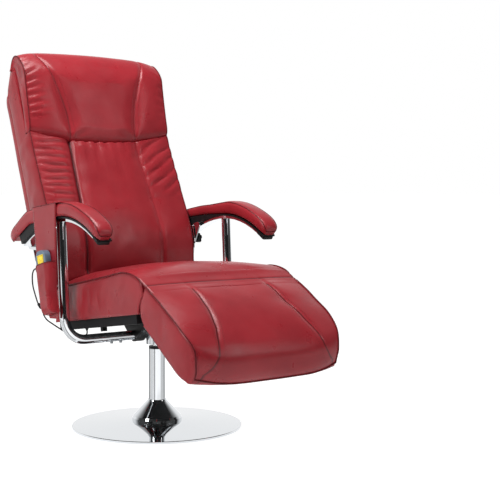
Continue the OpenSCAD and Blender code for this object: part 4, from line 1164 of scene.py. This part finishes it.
cloth_holes = [(-80, 80, -90, 60), (-195, -185, 39.6, 49.6), (-132, -116, 55, 71)]
lines_x = sorted(set([*np.linspace(-231, 231, 60)] + [x for hole in cloth_holes for x in hole[:2]]))
lines_y = sorted(set([*np.linspace(-294, 109, 52)] + [y for hole in cloth_holes for y in hole[2:]]))
dust_points = []
for y in lines_y:
    low = 1.6 * math.sin(math.pi * (y + 294) / 403)
    dust_points.append([(x, y, -0.45 - low * (1 - (x / 231) ** 2) * 0.3) for x in lines_x])
cloth = skin("dust_cloth", on_seat(dust_points), round_about=False)
work = bmesh.new()
work.from_mesh(cloth)
size = len(lines_x) - 1
cut = []
for face in work.faces:
    j, i = divmod(face.index, size)
    x = (lines_x[i] + lines_x[i + 1]) / 2
    y = (lines_y[j] + lines_y[j + 1]) / 2
    if any(x0 < x < x1 and y0 < y < y1 for x0, x1, y0, y1 in cloth_holes):
        cut.append(face)
bmesh.ops.delete(work, geom=cut, context="FACES")
work.to_mesh(cloth)
work.free()
dust = piece("dust_cloth", cloth, dust_cloth)
thicken(dust, 0.6)
print("dust cloth:", len(dust.data.polygons), "faces")

# %% [markdown]
# ## Piping and stitches
# Piping is a thin cord sewn into a seam, and a row of stitches runs beside it. Both follow a line,
# so a node tree makes them: one sweeps a round section along the line, the other sets a short
# rounded bar at every step along it. The line comes in as a mesh of edges, and the result goes out
# as a plain mesh.

# %% Node trees that follow a line
def new_tree(name, inputs):
    """A geometry node tree with a geometry input and output and named number inputs."""
    tree = bpy.data.node_groups.new(name, "GeometryNodeTree")
    tree.interface.new_socket("Geometry", in_out="INPUT", socket_type="NodeSocketGeometry")
    for label, value in inputs.items():
        socket = tree.interface.new_socket(label, in_out="INPUT", socket_type="NodeSocketFloat")
        socket.default_value = value
    tree.interface.new_socket("Material", in_out="INPUT", socket_type="NodeSocketMaterial")
    tree.interface.new_socket("Geometry", in_out="OUTPUT", socket_type="NodeSocketGeometry")
    return tree, tree.nodes.new("NodeGroupInput"), tree.nodes.new("NodeGroupOutput")


def finish_tree(tree, given, result, shape):
    """Makes instances real, gives them the tree's material and passes them out."""
    real = add(tree, "GeometryNodeRealizeInstances", {"Geometry": shape})
    dressed = add(tree, "GeometryNodeSetMaterial",
        {"Geometry": real, "Material": given.outputs["Material"]})
    tree.links.new(dressed.outputs[0], result.inputs[0])


piping_tree, given, result = new_tree("piping_along_a_line", {"Radius": 0.002})
curve = add(piping_tree, "GeometryNodeMeshToCurve", {"Mesh": given.outputs["Geometry"]})
section = add(piping_tree, "GeometryNodeCurvePrimitiveCircle",
    {"Resolution": 8, "Radius": given.outputs["Radius"]}, mode="RADIUS")
swept = add(piping_tree, "GeometryNodeCurveToMesh",
    {"Curve": curve, "Profile Curve": section.outputs["Curve"], "Fill Caps": True})
finish_tree(piping_tree, given, result, swept)

stitch_tree, given, result = new_tree("stitches_along_a_line",
    {"Pitch": 0.006, "Length": 0.004, "Thickness": 0.0008})
curve = add(stitch_tree, "GeometryNodeMeshToCurve", {"Mesh": given.outputs["Geometry"]})
steps = add(stitch_tree, "GeometryNodeCurveToPoints",
    {"Curve": curve, "Length": given.outputs["Pitch"]}, mode="LENGTH")
bar = add(stitch_tree, "GeometryNodeMeshUVSphere", {"Segments": 6, "Rings": 4, "Radius": 0.5})
thickness = given.outputs["Thickness"]
shape = add(stitch_tree, "ShaderNodeCombineXYZ",
    {"X": thickness, "Y": thickness, "Z": given.outputs["Length"]})
sized = add(stitch_tree, "GeometryNodeTransform", {"Geometry": bar.outputs["Mesh"], "Scale": shape})
placed = add(stitch_tree, "GeometryNodeInstanceOnPoints",
    {"Points": steps.outputs["Points"], "Instance": sized, "Rotation": steps.outputs["Rotation"]})
finish_tree(stitch_tree, given, result, placed)


def follow(name, tree, lines, material, **sizes):
    """Runs a tree on lines of points in millimetres and keeps its result as a plain piece."""
    points, edges = [], []
    for line in lines:
        start = len(points)
        points += [tuple(p) for p in np.array(line, float) * MM]
        edges += [(i, i + 1) for i in range(start, len(points) - 1)]
    guide = bpy.data.meshes.new(name + "_guide")
    guide.from_pydata(points, edges, [])
    host = bpy.data.objects.new(name + "_host", guide)
    bpy.context.scene.collection.objects.link(host)
    run = host.modifiers.new("along", "NODES")
    run.node_group = tree
    for socket in tree.interface.items_tree:
        if socket.in_out == "INPUT" and socket.name in sizes:
            run[socket.identifier] = sizes[socket.name]
        if socket.in_out == "INPUT" and socket.name == "Material":
            run[socket.identifier] = material
    bpy.context.view_layer.update()
    graph = bpy.context.evaluated_depsgraph_get()
    made = bpy.data.meshes.new_from_object(host.evaluated_get(graph))
    made.name = name
    bpy.data.objects.remove(host)
    bpy.data.meshes.remove(guide)
    return piece(name, made)


print("node trees:", piping_tree.name, "and", stitch_tree.name)

# %% [markdown]
# ## Lines of piping
# The piping follows the edges where the top panels meet the side bands. Each line is read off the
# cushion it lies on, and its middle lies a millimetre or two outside it.

# %% Piping on every cushion
def edge_line(rows, column, place=as_is, out=(0, 0, 0)):
    """The line that one column of a cushion's rows makes."""
    return place(np.array([row[column] for row in rows])) + np.array(out, float)


seat_edges = [edge_line(seat_rows[11:-4], side, out=(0.6 * sign, 0, 0.8))
    for side, sign in ((0, -1), (-1, 1))]
seat_piping = follow("seat_piping", piping_tree, seat_edges, shaded_piping_leather, Radius=2.1 * MM)
# On the leg rest one line runs down a side, across under the foot end's roll and up again.
leg_front = min(range(len(leg_rows)), key=lambda k: abs(leg_rows[k][len(leg_u) // 2][1] + 532)
    + 1000 * (leg_top[k][1] > 240))
way = [row[0] + (-0.8, -0.6, 0.8) for row in leg_rows[5:leg_front]]
way += [(p[0] * 1.004, p[1] - 0.7, p[2] - 0.8) for p in leg_rows[leg_front]]
way += [row[-1] + (0.8, -0.6, 0.8) for row in leg_rows[leg_front - 1:4:-1]]
leg_edges = [through(way[::2], 5)]
leg_piping = follow("legrest_piping", piping_tree, leg_edges, shaded_piping_leather, Radius=2.1 * MM)
fold_edges = [fold_grid[:, 0] + (-1.2, 0, -1.4), fold_grid[:, -1] + (1.2, 0, -1.4)]
fold_piping = follow("fold_piping", piping_tree, fold_edges, shaded_piping_leather, Radius=2.0 * MM)
back_front_rows = back_top[12:-5]
back_edges = [edge_line(back_front_rows, side, on_back, (0.5 * sign, -0.6, 0.3))
    for side, sign in ((0, -1), (-1, 1))]
back_piping = follow("back_piping", piping_tree, back_edges, shaded_piping_leather, Radius=1.6 * MM)
head_front = head_top[4:-3]
head_edges = [edge_line(head_front, side, on_back, (0.5 * sign, -0.5, 0.4))
    for side, sign in ((0, -1), (-1, 1))]
head_edges.append(on_back(head_top[-8]) + (0, 0.8, 0.8))
head_piping = follow("head_piping", piping_tree, head_edges, shaded_piping_leather, Radius=1.6 * MM)
print("piping made on the seat, leg rest, fold, back and head")

# %% Stitches beside the seams
def seam_stitches(rows, shares, wanted, place=as_is, out=(0, -0.1, 0.3)):
    """Lines along the rows at the shares nearest to the wanted ones."""
    lines = []
    for want in wanted:
        column = int(np.argmin(np.abs(shares - want)))
        lines.append(edge_line(rows, column, place, out))
    return lines


leg_sewn = seam_stitches(leg_rows[8:leg_front - 2], leg_u, (-0.55, -0.45, 0.45, 0.55))
head_sewn = seam_stitches(head_top[14:48], back_u, (-0.55, -0.45, 0.45, 0.55), on_back)
stitch_sizes = {"Pitch": 6 * MM, "Length": 4 * MM, "Thickness": 0.8 * MM}
leg_stitches = follow("legrest_stitches", stitch_tree, leg_sewn, sewing, **stitch_sizes)
head_stitches = follow("head_stitches", stitch_tree, head_sewn, sewing, **stitch_sizes)
print("stitch rows on the leg rest:", len(leg_sewn), "and on the head cushion:", len(head_sewn))

# %% Piping and stitches on the arm pads
def pad_point(t, column, lift=0.5):
    """A point on the right pad's skin at a share of its length and a place round its section."""
    k = np.interp(t, pad_stations, np.arange(len(pad_stations)))
    i = min(int(k), len(pad_stations) - 2)
    ring = pad_rings[i] + (pad_rings[i + 1] - pad_rings[i]) * (k - i)
    j = int(column) % PAD_SIDES
    point = ring[j] + (ring[(j + 1) % PAD_SIDES] - ring[j]) * (column - int(column))
    away = point - ring.mean(axis=0)
    return point + lift * away / np.linalg.norm(away)


RIDGE = 5              # the top panel's seam lies an eighth of the way round the section
ridge_run = [(t, RIDGE) for t in np.linspace(0.02, 0.955, 60)]
nose_run = [(0.968, 4.6), (0.98, 3.9), (0.99, 3.1), (0.997, 2.3), (1.0, 1.6)]
half = ridge_run + nose_run
seam_run = half + [(t, PAD_SIDES / 2 - column) for t, column in half[::-1]]
stitch_runs = [[(t, column) for t in np.linspace(0.03, 0.95, 70)] for column in (RIDGE + 1.1, 13.9)]
pad_pipes, pad_stitches = {}, {}
for side, turn in TURNS.items():
    seam_line = through([pad_point(t, column) * turn for t, column in seam_run], 3)
    pad_pipes[side] = follow(side + "_arm_piping", piping_tree, [seam_line], shaded_piping_leather,
        Radius=1.3 * MM)
    rows = [[pad_point(t, column, 0.15) * turn for t, column in run] for run in stitch_runs]
    pad_stitches[side] = follow(side + "_arm_stitches", stitch_tree, rows, sewing, **stitch_sizes)
lip_line = through(pocket_rows[-1], 3)
pocket_lip = follow("pocket_lip", piping_tree, [lip_line], shaded_piping_leather, Radius=1.3 * MM)
strap_edge = [(-307.4, *pad_top(t, 1.0)) for t in np.linspace(0.335, 0.595, 40)]
strap_piping = follow("strap_piping", piping_tree, [strap_edge], shaded_piping_leather, Radius=1.3 * MM)
flap_rows = [[(x - 2.1, y + shift, z) for x, y, z in hanging_grid[3:-2, place]]
    for place, shift in ((0, 4.5), (-1, -4.5))]
flap_stitches = follow("flap_stitches", stitch_tree, flap_rows, sewing, **stitch_sizes)
print("arm seam:", round(length_of(seam_line)), "mm round the nose and back")

# %% [markdown]
# ## Face of the hand control
# Small dark windows for the lamps are let into the printed films, and thin printed lines frame the
# display and the group of four zone keys.

# %% Lamp windows and printed lines
face = -9.1            # the films' outer face, from the middle of the control


def face_frame(half, low, high, corner):
    """A rounded rectangle on the face as a closed line."""
    line = []
    for ca, cb, start in ((half - corner, high - corner, 0), (-half + corner, high - corner, 90),
            (-half + corner, low + corner, 180), (half - corner, low + corner, 270)):
        for turn in np.linspace(start, start + 90, 8):
            angle = math.radians(turn)
            line.append((face, ca + corner * math.cos(angle), cb + corner * math.sin(angle)))
    return on_handset(line)


lamp_places = [(6.3, 36 + b) for b in (10.5, 5.7, 1.1, -3.2)]
lamp_places += [(a, 41.7) for a in (0, -6, -12)] + [(0, 26.5), (-12, 26.5)]
lamp_places += [(a, 7.6) for a in (9.6, 5, 0.4, -4.2, -8.8)]
work = bmesh.new()
for a, b in lamp_places:
    centre = Vector(on_handset([(face, a, b)])[0] * MM)
    turn = Matrix.Translation(centre) @ Matrix.Rotation(math.pi / 2, 4, "Y")
    bmesh.ops.create_cone(work, cap_ends=True, segments=16, radius1=0.7 * MM, radius2=0.7 * MM,
        depth=0.5 * MM, matrix=turn)
lights_mesh = bpy.data.meshes.new("remote_lamp_windows")
work.to_mesh(lights_mesh)
work.free()
face_lights = bpy.data.objects.new("remote_lamp_windows", lights_mesh)
lights_mesh.materials.append(black_plastic)
bpy.context.scene.collection.objects.link(face_lights)
display_outline = piece("remote_display_outline",
    tube("remote_display_outline", face_frame(15.2, 16, 56, 5), 0.2, loop=True), black_plastic)
group_outline = piece("remote_group_outline",
    tube("remote_group_outline", face_frame(13.4, -46.6, -20.7, 2.5), 0.2, loop=True), white_key)
print("lamp windows:", len(lamp_places))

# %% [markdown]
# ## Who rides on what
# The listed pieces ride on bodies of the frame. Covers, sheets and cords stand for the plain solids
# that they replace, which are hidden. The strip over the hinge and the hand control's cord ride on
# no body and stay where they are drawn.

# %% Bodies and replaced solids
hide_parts("remote_cord")
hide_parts("supply_cord")
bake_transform(handset_cord)
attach(supply_cord, "chair")
for obj in (handset_cord, supply_cord):
    obj.data.materials.append(cord_rubber)

pouch = [pocket_panel, pocket_strap, pocket_hem, pocket, pocket_lip, flap_stitches, strap_piping]
rides = {
    "chair": [seat_cushion, seat_piping, *arm_pads.values(), *pad_pipes.values(),
        *pad_stitches.values(), *arm_caps.values(), *pouch, dust],
    "legrest": [legrest_cushion, leg_piping, leg_stitches],
    "back": [back_cushion, back_piping, head_cushion, head_piping, head_stitches, rear_cover],
    "remote": [face_lights, display_outline, group_outline],
}
for body, objects in rides.items():
    for obj in objects:
        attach(obj, body)
for obj in (fold_strip, fold_piping):
    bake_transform(obj)
for obj, name in ((seat_cushion, "seat_cushion"), (legrest_cushion, "legrest_cushion"),
        (back_cushion, "back_cushion"), (head_cushion, "head_cushion"), (rear_cover, "rear_cover"),
        (arm_pads["left"], "left_arm_pad"), (arm_pads["right"], "right_arm_pad")):
    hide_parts(name)
for obj in pouch:
    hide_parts("remote_pouch")
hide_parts("dust_cover")


print("riding:", {body: len(objects) for body, objects in rides.items()})

# %% [markdown]
# ## Floor, light and surroundings
# The chair stands on a plain white floor in a white room. The floor is white to the camera and to
# reflections, and still takes the chair's shadow. Soft lamps light it from overhead and from both
# sides, least from the camera's right. Chrome only looks like chrome when it has something dark to
# mirror, so black cards stand around it and grey sheets lie on the floor, seen in reflections only.

# %% Stage, lamps and world
def seen_directly(tree):
    """1 for rays from the eye, a mirror or a clear body, and the light path's node."""
    path = add(tree, "ShaderNodeLightPath")
    share = path.outputs["Is Camera Ray"]
    for kind in ("Is Glossy Ray", "Is Transmission Ray"):
        share = add(tree, "ShaderNodeMath", {0: share, 1: path.outputs[kind]}, operation="MAXIMUM")
    return share, path


def aim(obj, at, towards):
    """Links an object into the scene at a place and turns its face to another."""
    bpy.context.scene.collection.objects.link(obj)
    obj.location = at
    obj.rotation_mode = "QUATERNION"
    obj.rotation_quaternion = (Vector(towards) - Vector(at)).to_track_quat("-Z", "Y")


def quad(name, corners, material):
    """A flat object with four corners, not linked yet."""
    mesh = bpy.data.meshes.new(name)
    mesh.from_pydata(corners, [], [(0, 1, 2, 3)])
    mesh.materials.append(material)
    return bpy.data.objects.new(name, mesh)


def mirrored_only(obj):
    """Declares a stage piece that only reflections see."""
    obj.visible_camera = obj.visible_diffuse = obj.visible_shadow = False


floor_white = bpy.data.materials.new("white_studio_floor")
floor_white.use_nodes = True
tree = floor_white.node_tree
tree.nodes.clear()
paint = add(tree, "ShaderNodeBsdfDiffuse", {"Color": (0.34, 0.34, 0.34, 1)})
glow = add(tree, "ShaderNodeEmission", {"Color": (1, 1, 1, 1), "Strength": 0.92})
lit = add(tree, "ShaderNodeAddShader", {0: paint, 1: glow})
direct, path = seen_directly(tree)
plain = add(tree, "ShaderNodeBsdfDiffuse", {"Color": (0.85, 0.85, 0.85, 1)})
mixed = add(tree, "ShaderNodeMixShader", {0: direct, 1: plain, 2: lit})
add(tree, "ShaderNodeOutputMaterial", {0: mixed})
floor_half = 60
floor = quad("studio_floor", [(x * floor_half, y * floor_half, -0.0002)
    for x, y in ((-1, -1), (1, -1), (1, 1), (-1, 1))], floor_white)
bpy.context.scene.collection.objects.link(floor)

VIEW = np.array((0.0, 0.4, 0.0)) - np.array(camera.location)
VIEW = VIEW[:2] / np.linalg.norm(VIEW[:2])      # level direction from the camera to the chair
world = bpy.data.worlds.new("white_room")
bpy.context.scene.world = world
world.use_nodes = True
tree = world.node_tree
tree.nodes.clear()
direct, path = seen_directly(tree)
way = add(tree, "ShaderNodeTexCoord").outputs["Generated"]
height = add(tree, "ShaderNodeSeparateXYZ", {0: way}).outputs["Z"]
ceiling = stretch(tree, height, 0.35, 0.75, 1.0, 0.3)
behind = add(tree, "ShaderNodeVectorMath", {0: way, 1: (VIEW[0], VIEW[1], 0.0)},
    operation="DOT_PRODUCT")
backdrop = stretch(tree, behind.outputs["Value"], 0.15, 0.6, 0.07, 1.0)
studio = add(tree, "ShaderNodeMath", {0: ceiling, 1: backdrop}, operation="MULTIPLY")
for_mirrors = add(tree, "ShaderNodeMath", {0: studio, 1: path.outputs["Is Camera Ray"]},
    operation="MAXIMUM")
for_light = stretch(tree, height, 0.0, 1.0, 0.2, 0.4)
level = add(tree, "ShaderNodeMix", {0: direct, 2: for_light, 3: for_mirrors}).outputs[0]
sky = add(tree, "ShaderNodeBackground", {"Color": (1, 1, 1, 1), "Strength": level})
add(tree, "ShaderNodeOutputWorld", {0: sky})


def softbox(name, at, towards, width, height, watts):
    """A rectangular lamp that points at a place."""
    lamp = bpy.data.lights.new(name, "AREA")
    lamp.shape = "RECTANGLE"
    lamp.size, lamp.size_y = width, height
    lamp.energy = watts
    aim(bpy.data.objects.new(name, lamp), at, towards)


softbox("overhead", (-0.3, 0.0, 2.6), (0, 0.1, 0.6), 1.5, 1.1, 50)
softbox("camera_left", (-2.6, -0.2, 1.9), (0, 0, 0.6), 0.7, 1.7, 40)
softbox("camera_right", (1.4, -2.6, 1.9), (0, 0, 0.5), 0.8, 1.5, 12)

card_black = bpy.data.materials.new("black_card")
card_black.use_nodes = True
shader = card_black.node_tree.nodes["Principled BSDF"]
shader.inputs["Base Color"].default_value = (0.004, 0.004, 0.004, 1)
shader.inputs["Roughness"].default_value = 1.0


def card(name, at, towards, width, height):
    """A black card that only reflections see."""
    w, h = width / 2, height / 2
    obj = quad(name, [(-w, -h, 0), (w, -h, 0), (w, h, 0), (-w, h, 0)], card_black)
    aim(obj, at, towards)
    mirrored_only(obj)


card("card_low_left", (-1.9, -1.1, 0.35), (0, 0, 0.3), 0.5, 1.4)
card("card_front", (-0.5, -2.4, 0.5), (0, 0, 0.3), 0.45, 1.6)
card("card_right", (2.2, -1.0, 0.5), (0, 0, 0.3), 0.6, 1.8)
# Sheets on the floor, in bearings from the eye, that put grey bands along the column's chrome.
toward_eye = math.atan2(-VIEW[1], -VIEW[0])
for name, first, last, tone in (("strip_left_edge", 94, 136, 0.36), ("strip_left", 48, 90, 0.68),
        ("strip_right", -52, -28, 0.42), ("strip_right_inner", -96, -58, 0.74),
        ("strip_right_edge", -146, -106, 0.2)):
    angles = [toward_eye + math.radians(bearing) for bearing in (first, last)]
    rays = [np.array((math.cos(angle), math.sin(angle))) for angle in angles]
    grey = bpy.data.materials.new(name + "_card")
    grey.use_nodes = True
    shader = grey.node_tree.nodes["Principled BSDF"]
    shader.inputs["Base Color"].default_value = (0, 0, 0, 1)
    shader.inputs["Emission Color"].default_value = (tone, tone, tone, 1)
    shader.inputs["Emission Strength"].default_value = 1.0
    strip = quad(name, [(*(rays[side] * far), 0.003)
        for side, far in ((0, 0.28), (0, 2.4), (1, 2.4), (1, 0.28))], grey)
    bpy.context.scene.collection.objects.link(strip)
    mirrored_only(strip)
screen = -2.6 * VIEW
card("dark_screen_in_front", (screen[0], screen[1], 0.9), (0, 0, 0.9), 4.4, 1.4)
